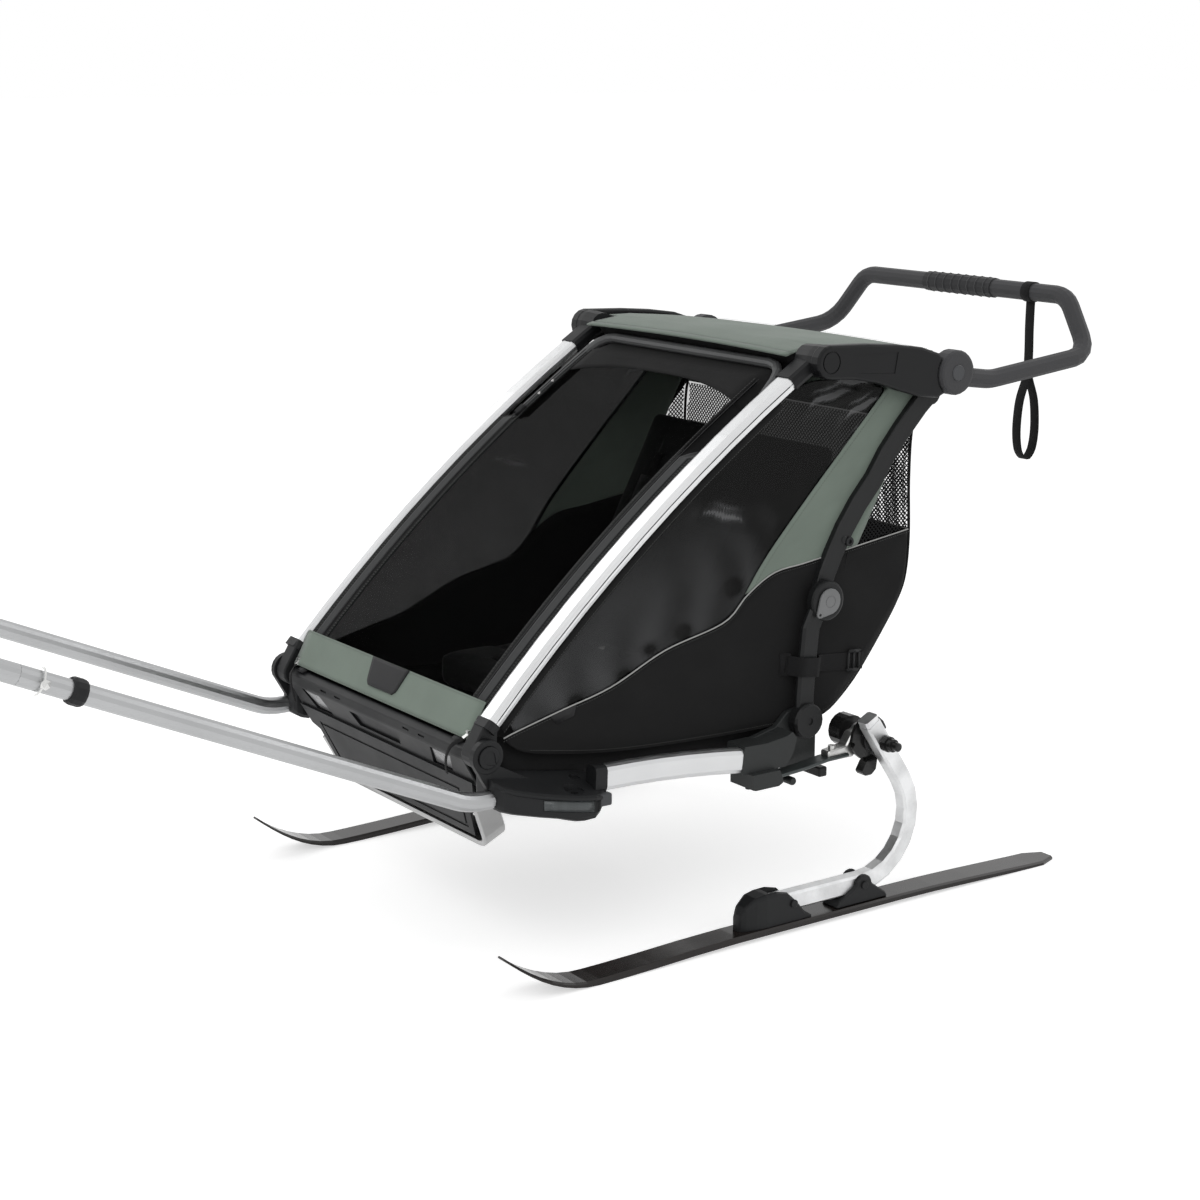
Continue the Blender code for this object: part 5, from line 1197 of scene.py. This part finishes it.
side_outline = [(p.y, p.z) for p in STRIP_REAR] + [(1.02, 0.74), (1.017, 0.66), (1.019, 0.578)]
side_outline = [(side_outline[0][0] - 0.004, side_outline[0][1])] + side_outline
nets = []
for label, side in SIDES:
    nets.append(net_piece("side_net_" + label, [[(side * (SIDE_X + 0.0002), y, z) for y, z in line]
                                                for line in diamond_lines(side_outline, 0.0035)]))
    bends_with_side(nets[-1])
rear_outline = [(x * REAR_HALF, z) for x, z in ((-1, REAR_LOW), (1, REAR_LOW), (1, REAR_HIGH), (-1, REAR_HIGH))]
nets.append(net_piece("rear_net", [[rear_at(z) + Vector((x, 0, 0)) for x, z in line]
                                   for line in diamond_lines(rear_outline, 0.007)]))
bends_upright(nets[-1])
print("net triangles", [sum(len(p.vertices) - 2 for p in net.data.polygons) for net in nets])

# %% [markdown]
# ## The rear
# From behind the trailer shows a green band under the roof, the net, and a black bag that
# hangs to the floor bar. The bag is one continuous sheet whose rows follow the rear outline.
# It bellies out between its corners and has a flap pocket with two webbing straps.

# %% Rear cloth, flap and straps
def rear_rows(z_high, z_low, rows, half=0.2925, belly=0.0, lift=0.0):
    """Rows of points down the rear between two heights."""
    grid = []
    for i in range(rows):
        share = i / (rows - 1)
        base = rear_at(z_high + (z_low - z_high) * share)
        after = rear_at(z_high + (z_low - z_high) * min(1.0, share + 0.02))
        before = rear_at(z_high + (z_low - z_high) * max(0.0, share - 0.02))
        way = (after - before).normalized()
        out = Vector((0, -way.z, way.y))
        row = []
        for x in shares(20):
            swell = belly * math.sin(math.pi * share) * (1 - abs(x) ** 4) * (1 + 0.25 * math.sin(7.0 * x + 5.0 * share))
            row.append(base + Vector((half * x, 0, 0)) + out * (lift + swell))
        grid.append(row)
    return grid


def down_rear(x, z_high, z_low, rows, lift):
    """One line of points down the rear."""
    return [row[0] + Vector((x, 0, 0)) for row in rear_rows(z_high, z_low, rows, 0.0, 0.0, lift)]


rear_bag = sheet_piece("rear_bag", rear_rows(REAR_LOW, 0.299, 33, belly=0.006), BLACK_CLOTH, THICK)
roof_edge = [[roof_point(1.06 - 0.0004 * k, 0.8575 - 0.004 * k, 0.992 * share) for share in shares(20)]
             for k in range(2)]
rear_band = sheet_piece("rear_band", roof_edge + rear_rows(0.847, REAR_HIGH, 9), GREEN_CLOTH, MIDDLE)
flap = sheet_piece("rear_flap", rear_rows(0.556, 0.475, 9, 0.235, 0.006, 0.0062), DARK_CLOTH, THICK)
rear_thread = stitches("rear_stitches", [rear_rows(z, z - 0.001, 2, half, 0.0, lift)[0] for z, half, lift in
                                         ((0.572, 0.289, 0.0012), (0.751, 0.289, 0.0012), (0.84, 0.289, 0.0012),
                                          (0.479, 0.23, 0.008))])
rear_pipe = round_cord("rear_piping", rear_rows(REAR_LOW, REAR_LOW - 0.001, 2, 0.2925)[0], 0.0016, PIPING, (0, 0, 1))
bindings = []
for label, side in SIDES:
    x = side * 0.15
    bindings += [
        round_cord("rear_binding_" + label, even(moved(REAR_LINE, (side * 0.294, 0, 0)), 60), 0.0024, DARK_CLOTH),
        webbing("rear_strap_" + label, down_rear(x, 0.56, 0.43, 15, 0.0145), 0.025, (0, 1, 0.2)),
        sweep("rear_clip_" + label, down_rear(x, 0.472, 0.442, 4, 0.0165), wedge(0.016, 0.014, 0.003), (0, 1, 0.2),
              BLACK_PLASTIC, sharp=30)]
for piece in [rear_bag, rear_band, flap, rear_thread, rear_pipe] + bindings:
    bends_upright(piece)
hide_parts("rear_cover")
print("rear made of", 5 + len(bindings), "pieces")

# %% [markdown]
# ## The floor
# The floor is a cloth tray laced between the rails. It is one sheet: up at both sides, down
# to the pan, with a slight sag and a bound edge.

# %% Floor cloth
def floor_point(share, i):
    """Point across the tray, in row i; share runs from -1 to 1."""
    y = 0.2495 + 0.54 * i / 24
    side = 1 if share > 0 else -1
    rise = max(0.0, (abs(share) - 0.93) / 0.07)
    sag = 0.0016 * math.cos(share * 1.5) * math.sin(math.pi * (y - 0.249) / 0.541)
    edge = (height_at(BOTTOM_LINE, y) - 0.256) * rise
    return Vector((side * min(0.2812, abs(share) * 0.3), y, 0.2602 - sag + edge))


floor_cloth = sheet_piece("floor_cloth", [[floor_point(share, i) for share in shares(24)] for i in range(25)],
                          BLACK_CLOTH, MIDDLE)
floor_edges = [round_cord("floor_binding_" + label, moved([floor_point(side, i) for i in range(25)], (0, 0, 0.0004)),
                          0.0016, DARK_CLOTH, (0, 0, 1)) for label, side in SIDES]
for piece in [floor_cloth] + floor_edges:
    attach(piece, "chassis")
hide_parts("floor_pan")
print("floor cloth", [round(v, 3) for v in floor_cloth.dimensions])

# %% [markdown]
# ## The seat pads
# A padded seat is a cloth bag round foam. Its shape comes from the filling pushing outwards,
# so a small cloth simulation is the honest way to make it: a slightly undersized slab is
# remeshed into even cells, a pressure inside swells it, and how far a point may move is
# capped. The sewn channels are pressed in afterwards, because the remesh would lose them.

# %% Makers for the pads
VOXEL = 0.0062
SWELL_FRAMES = 20
BACK_FOOT = Vector((0.0, 0.735, 0.33))
BACK_TURN = math.radians(62)
BACK_ALONG = Vector((0.0, math.cos(BACK_TURN), math.sin(BACK_TURN)))
BACK_OUT = Vector((0.0, -math.sin(BACK_TURN), math.cos(BACK_TURN)))


def leaned(x, run, out):
    """Point x sideways, run up the back and out in front of it."""
    return BACK_FOOT + Vector((x, 0, 0)) + BACK_ALONG * run + BACK_OUT * out


def slab(name, low, high, corner):
    """Rounded slab of even cells, remeshed with small voxels."""
    body = bmesh.new()
    bmesh.ops.create_cube(body, size=1.0)
    for vert in body.verts:
        vert.co = Vector([low[k] if vert.co[k] < 0 else high[k] for k in range(3)])
    bmesh.ops.bevel(body, geom=list(body.edges), offset=corner, segments=3, affect="EDGES", profile=0.6)
    piece = in_scene(name, mesh_from(name, body))
    cells = piece.modifiers.new("cells", "REMESH")
    cells.mode = "VOXEL"
    cells.voxel_size = VOXEL
    depsgraph = bpy.context.evaluated_depsgraph_get()
    even_mesh = bpy.data.meshes.new_from_object(piece.evaluated_get(depsgraph))
    piece.modifiers.clear()
    piece.data = even_mesh
    return piece


def swell(piece, pressure, cap):
    """Blow the bag up with a cloth simulation; no point moves further than the cap."""
    start = np.array([v.co for v in piece.data.vertices])
    cloth = piece.modifiers.new("swell", "CLOTH")
    cloth.settings.quality = 5
    cloth.settings.use_pressure = True
    cloth.settings.uniform_pressure_force = pressure
    cloth.settings.effector_weights.gravity = 0.0
    cloth.settings.tension_stiffness = 12.0
    cloth.collision_settings.use_collision = False
    cloth.point_cache.frame_start = 1
    cloth.point_cache.frame_end = SWELL_FRAMES
    scene = bpy.context.scene
    for frame_number in range(1, SWELL_FRAMES + 1):
        scene.frame_set(frame_number)
    depsgraph = bpy.context.evaluated_depsgraph_get()
    done = piece.evaluated_get(depsgraph).to_mesh()
    step = np.array([v.co for v in done.vertices]) - start
    piece.evaluated_get(depsgraph).to_mesh_clear()
    scene.frame_set(1)
    piece.modifiers.clear()
    step -= step.mean(axis=0)
    length = np.linalg.norm(step, axis=1)
    step *= np.minimum(1.0, cap / np.maximum(length, 1e-9))[:, None]
    piece.data.vertices.foreach_set("co", (start + step).astype(np.float32).ravel())
    piece.data.update()
    return float(length.max())


def press_channels(piece, lines, top, depth, width=0.006):
    """Pull the upper face in along sewn lines."""
    for vert in piece.data.vertices:
        if vert.co.z >= top - 0.02:
            for a, b in lines:
                vert.co.z -= depth * bell(away(vert.co.xy, a, b) / width)
    piece.data.update()


print("pad makers ready")

# %% Pads by cloth simulation
seat = slab("seat_pad", (-0.231, 0.459, 0.294), (0.231, 0.711, 0.346), 0.014)
back = slab("back_pad", (-0.231, 0.739, 0.332), (0.231, 1.156, 0.361), 0.011)
print("seat swells", round(swell(seat, 4.0, 0.006), 4), "back swells", round(swell(back, 4.0, 0.005), 4))
seat_channels = [((0.0, 0.455), (0.0, 0.715))]
for y in (0.56, 0.64):
    seat_channels += [((-0.2, y), (-0.03, y)), ((0.03, y), (0.2, y))]
back_channels = [((0.0, 0.735), (0.0, 1.16))]
for x in (-0.117, 0.117):
    back_channels += [((x - 0.075, 0.8), (x - 0.055, 1.1)), ((x + 0.075, 0.8), (x + 0.055, 1.1)),
                      ((x - 0.055, 0.93), (x + 0.055, 0.93)), ((x - 0.055, 1.03), (x + 0.055, 1.03))]
press_channels(seat, short_lines(seat_channels), 0.346, 0.0065)
press_channels(back, short_lines(back_channels), 0.361, 0.0055)
for pad in (seat, back):
    layer = pad.data.uv_layers.new(name="cloth")
    for loop in pad.data.loops:
        co = pad.data.vertices[loop.vertex_index].co
        layer.data[loop.index].uv = (co.x, co.y + co.z)
    pad.data.materials.clear()
    pad.data.materials.append(PAD_CLOTH)
    pad.data.shade_smooth()
for vert in back.data.vertices:
    vert.co = leaned(*(vert.co - BACK_FOOT))
back.data.update()
for pad in (seat, back):
    smooth = pad.modifiers.new("smooth", "SUBSURF")
    smooth.levels = 1
    smooth.render_levels = 1
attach(seat, "chassis")
bends_upright(back)
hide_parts("seat_cushion")
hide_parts("seat_back")
print("pads have", len(seat.data.polygons), "and", len(back.data.polygons), "cells")

# %% [markdown]
# ## Harnesses
# Each child has two shoulder straps with padded sleeves, a strap between the legs and a
# buckle where they meet. Straps are modelled directly, because a remesh would erase them.

# %% Harness straps and buckles
SLEEVE = [(-0.021, -0.002), (-0.016, 0.004), (0.016, 0.004), (0.021, -0.002)]
BUCKLE = [(-0.022, -0.005), (-0.018, 0.006), (0.018, 0.006), (0.022, -0.005)]


def on_back(x, runs, lift=0.0):
    """Points up the face of the back, lift in front of it."""
    return [leaned(x, run, 0.0385 + lift) for run in runs]


harness = []
for label, middle in (("left", 0.117), ("right", -0.117)):
    buckle = Vector((middle, 0.612, 0.372))
    for place, offset in (("inner", -0.038), ("outer", 0.038)):
        path = even(on_back(middle + offset, (0.345, 0.28, 0.2, 0.12), 0.001)
                    + on_back(middle + offset * 0.85, (0.065,), 0.01)
                    + [buckle + Vector((offset * 0.35, 0.02, 0.016))], 30)
        sleeve = even(on_back(middle + offset, (0.3, 0.22, 0.14), 0.004), 12)
        harness += [webbing("harness_%s_%s" % (place, label), path, 0.022, BACK_OUT),
                    sweep("sleeve_%s_%s" % (place, label), sleeve, SLEEVE, BACK_OUT, PAD_CLOTH)]
    crotch = even([(middle, 0.5, 0.352), (middle, 0.55, 0.359), buckle], 14)
    shell = [buckle + Vector(step) for step in ((0, -0.02, 0.001), (0, 0, 0.006), (0, 0.024, 0.013))]
    harness += [webbing("harness_lower_" + label, crotch, 0.025, (0, 0, 1)),
                sweep("buckle_" + label, shell, BUCKLE, (0, 0, 1), BLACK_PLASTIC, sharp=25)]
for piece in harness:
    bends_upright(piece)
print("harness pieces", len(harness))

# %% [markdown]
# ## The wrist strap
# A webbing loop hangs from the handlebar: a ring round the bar, a doubled neck, a sewn
# keeper and an open hand loop. The neck and the loop are cords of flat webbing, so their
# width stands for their diameter.

# %% Wrist strap
BAR_CENTRE = Vector((0.168, 1.4025, 0.921))
STRAP_WIDTH = 0.02
LOOP_HALF = [(-0.0012, -0.14), (-0.004, -0.15), (-0.017, -0.185), (-0.0215, -0.232), (-0.017, -0.267),
             (-0.0065, -0.283)]


def from_bar(points):
    """(y, z) pairs, measured from the middle of the bar."""
    return [BAR_CENTRE + Vector((0, y, z)) for y, z in points]


ring_path = from_bar([(0.0166 * math.cos(math.tau * k / 24), 0.0166 * math.sin(math.tau * k / 24)) for k in range(24)])
ring = webbing("strap_ring", ring_path, STRAP_WIDTH, [p - BAR_CENTRE for p in ring_path], closed=True)
neck_path = even(from_bar([(0, -0.0165), (-0.0006, -0.06), (0.0004, -0.1), (0, -0.14)]), 20)
neck = webbing("strap_neck", neck_path, STRAP_WIDTH, (0, 1, 0), thickness=0.003)
keeper = sweep("strap_keeper", neck_path[-3:], wedge(0.0108, 0.0108, 0.0026), (0, 1, 0), DARK_CLOTH, sharp=30)
loop_path = even(from_bar(LOOP_HALF + [(0.0, -0.285)] + [(-y, z) for y, z in reversed(LOOP_HALF)]), 48)
loop_ways = [Vector((0, p.y - BAR_CENTRE.y, 0.25 * (p.z - BAR_CENTRE.z + 0.21))) + Vector((0, 0.0001, 0))
             for p in loop_path]
loop = webbing("strap_loop", loop_path, STRAP_WIDTH, loop_ways, thickness=0.0015)
strap_thread = stitches("strap_stitches", [[BAR_CENTRE + Vector((x, 0.0018, -0.019 - 0.118 * k / 12))
                                           for k in range(13)] for x in (-0.008, 0.008)])
for piece in (ring, neck, keeper, loop, strap_thread):
    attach(piece, "hand_strap")
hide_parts("wrist_strap")
print("strap neck", round(run_of(neck_path), 3), "m, loop", round(run_of(loop_path), 3), "m")

# %% [markdown]
# ## The strap round the lower strut
# A wide strap holds the lower strut to the cloth: a stiff tab in front, a folded end, the
# band over the strut and a ladder buckle behind. It moves with the strut, so the strut never
# cuts through it.

# %% Strut strap
STRAP_RUN = [(0.2996, 0.757, 0.3935), (0.301, 0.768, 0.3925), (0.312, 0.775, 0.3915), (0.3242, 0.783, 0.3905),
             (0.3246, 0.8, 0.3885), (0.3242, 0.816, 0.3868), (0.312, 0.826, 0.3855), (0.3012, 0.838, 0.3845),
             (0.3004, 0.88, 0.3805), (0.3004, 0.927, 0.376)]
STRAP_TAB = [(0.757, 0.3752), (0.7566, 0.412), (0.779, 0.4085), (0.779, 0.3745)]
LADDER = [[(0.894, 0.393), (0.897, 0.3985), (0.921, 0.396), (0.9205, 0.3905)],
          [(0.892, 0.363), (0.8915, 0.3685), (0.918, 0.366), (0.9155, 0.3605)]]
LADDER += [[(y - 0.0018, 0.366), (y + 0.0002, 0.395), (y + 0.004, 0.3945), (y + 0.002, 0.3655)]
           for y in (0.894, 0.905, 0.916)]
for label, side in SIDES:
    path = even(mirrored(STRAP_RUN, side), 40)
    band = webbing("strut_strap_" + label, path, 0.027, (side, 0, 0), thickness=0.0016)
    folded = even(mirrored([(x + 0.002, y, z) for x, y, z in STRAP_RUN[1:6]], side), 12)
    fold = webbing("strap_fold_" + label, folded, 0.03, (side, 0, 0), thickness=0.0018)
    tab = plate("strap_tab_" + label, STRAP_TAB, 0.2994, 0.3022, side, WEBBING)
    buckle = joined("strap_buckle_" + label, [plate("bar", outline, 0.3012, 0.3044, side, BLACK_PLASTIC)
                                              for outline in LADDER])
    for piece in (band, fold, tab, buckle):
        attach(piece, "lower_struts")
print("strut straps", round(run_of(path), 3), "m long")

# %% [markdown]
# ## Small hard details
# Reflectors, plates, clips and screws are separate pieces set into the CAD parts' own
# recesses. They ride the same body as the part that holds them.

# %% Reflectors
WINDOW = [(0.17, 0.325), (0.2265, 0.325), (0.207, 0.294), (0.152, 0.294)]
WINDOW_DEPTH = 0.0034
RIDGE = 0.0022
WALL = [(0.285, 0.3533), (0.313, 0.3575), (0.327, 0.359), (0.341, 0.36), (0.356, 0.3602), (0.368, 0.3593)]


def on_face(x, z, depth):
    """Point behind the front face of the crosspiece, which leans back downwards."""
    return (x, 0.2035 + (0.33 - z) * 0.55 + depth, z)


def facet_plate(name, outline):
    """Plate in the leaning face; its middle is raised, so its facets catch the light apart."""
    count = len(outline)
    cx, cz = sum(x for x, z in outline) / count, sum(z for x, z in outline) / count
    body = bmesh.new()
    rims = []
    for shrink, inward in ((0.9, 0.001), (0.9, 0.0), (0.84, -0.0005)):
        rims.append([body.verts.new((cx + (x - cx) * shrink, on_face(x, z, WINDOW_DEPTH + inward)[1],
                                     cz + (z - cz) * shrink)) for x, z in outline])
    tip = body.verts.new(on_face(cx, cz, WINDOW_DEPTH - RIDGE))
    steps = [(k, (k + 1) % count) for k in range(count)]
    for low, high in zip(rims, rims[1:]):
        for k, n in steps:
            body.faces.new((low[k], low[n], high[n], high[k]))
    for k, n in steps:
        body.faces.new((rims[-1][k], rims[-1][n], tip))
    body.faces.new(rims[0])
    bmesh.ops.recalc_face_normals(body, faces=body.faces)
    return new_piece(name, mesh_from(name, body), FRONT_REFLECTOR, sharp=8)


for label, side in SIDES:
    front_piece = facet_plate("front_reflector_" + label, [(side * x, z) for x, z in WINDOW])
    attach(front_piece, "chassis")
    rows = [[(side * (x - 0.0002), y, start + (end - start) * ((y - 0.284) / 0.085)) for y, x in WALL]
            for start, end in ((0.2608, 0.2448), (0.2757, 0.2622))]
    lens = sheet_piece("side_reflector_" + label, [[Vector(p) for p in row] for row in rows], SIDE_REFLECTOR, 0.001)
    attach(lens, "chassis")
    ribs = [plate("rib", [(y, 0.244), (y + 0.0004, 0.262), (y + 0.0014, 0.262), (y + 0.001, 0.244)],
                  0.356, 0.3596 - (y - 0.3725) * 0.3, side, RUBBER, 0.0002) for y in (0.3725, 0.3758, 0.379)]
    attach(joined("housing_ribs_" + label, ribs), "chassis")
print("reflectors on both sides")

# %% Clips, tube lines and screws
PANEL_CLIP = [(0.208, 0.349), (0.211, 0.3545), (0.223, 0.356), (0.226, 0.351)]
STRUT_BOLT = (0.3091, 0.8852, 0.5743)


def leg_point(distance, side):
    """Point on the middle line of the roof bar's leg."""
    return tube_point(distance, -0.0135) + Vector((side * 0.2565, 0, 0))


hoop_screws = []
for label, side in SIDES:
    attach(plate("panel_clip_" + label, PANEL_CLIP, 0.227, 0.244, side, RUBBER), "chassis")
    line = [tube_point(0.048 + 0.68 * k / 40, 0.002) + Vector((side * 0.306, 0, 0)) for k in range(41)]
    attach(round_cord("tube_line_" + label, line, 0.0007, RUBBER, sides=6), "front_frame")
    leg_end = [leg_point(distance, side) for distance in (0.57, 0.579, 0.588)]
    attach(round_cord("bar_clip_" + label, leg_end, 0.0094, RUBBER, sides=16), "front_frame")
    inward = (LIFT + Vector((-side, 0, 0))).normalized()
    hoop_screws += [(leg_point(distance, side) + inward * 0.0076, inward) for distance in (0.655, 0.622)]
    bolt = [(mirrored([STRUT_BOLT], side)[0], (side, 0, 0))]
    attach(screws("strut_bolt_" + label, bolt, 0.0075, 0.005, BLACK_PLASTIC), "upper_struts")
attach(screws("roof_bar_screws", hoop_screws, 0.0024, 0.0014, PLATED_STEEL), "front_frame")
print("screws", len(hoop_screws))
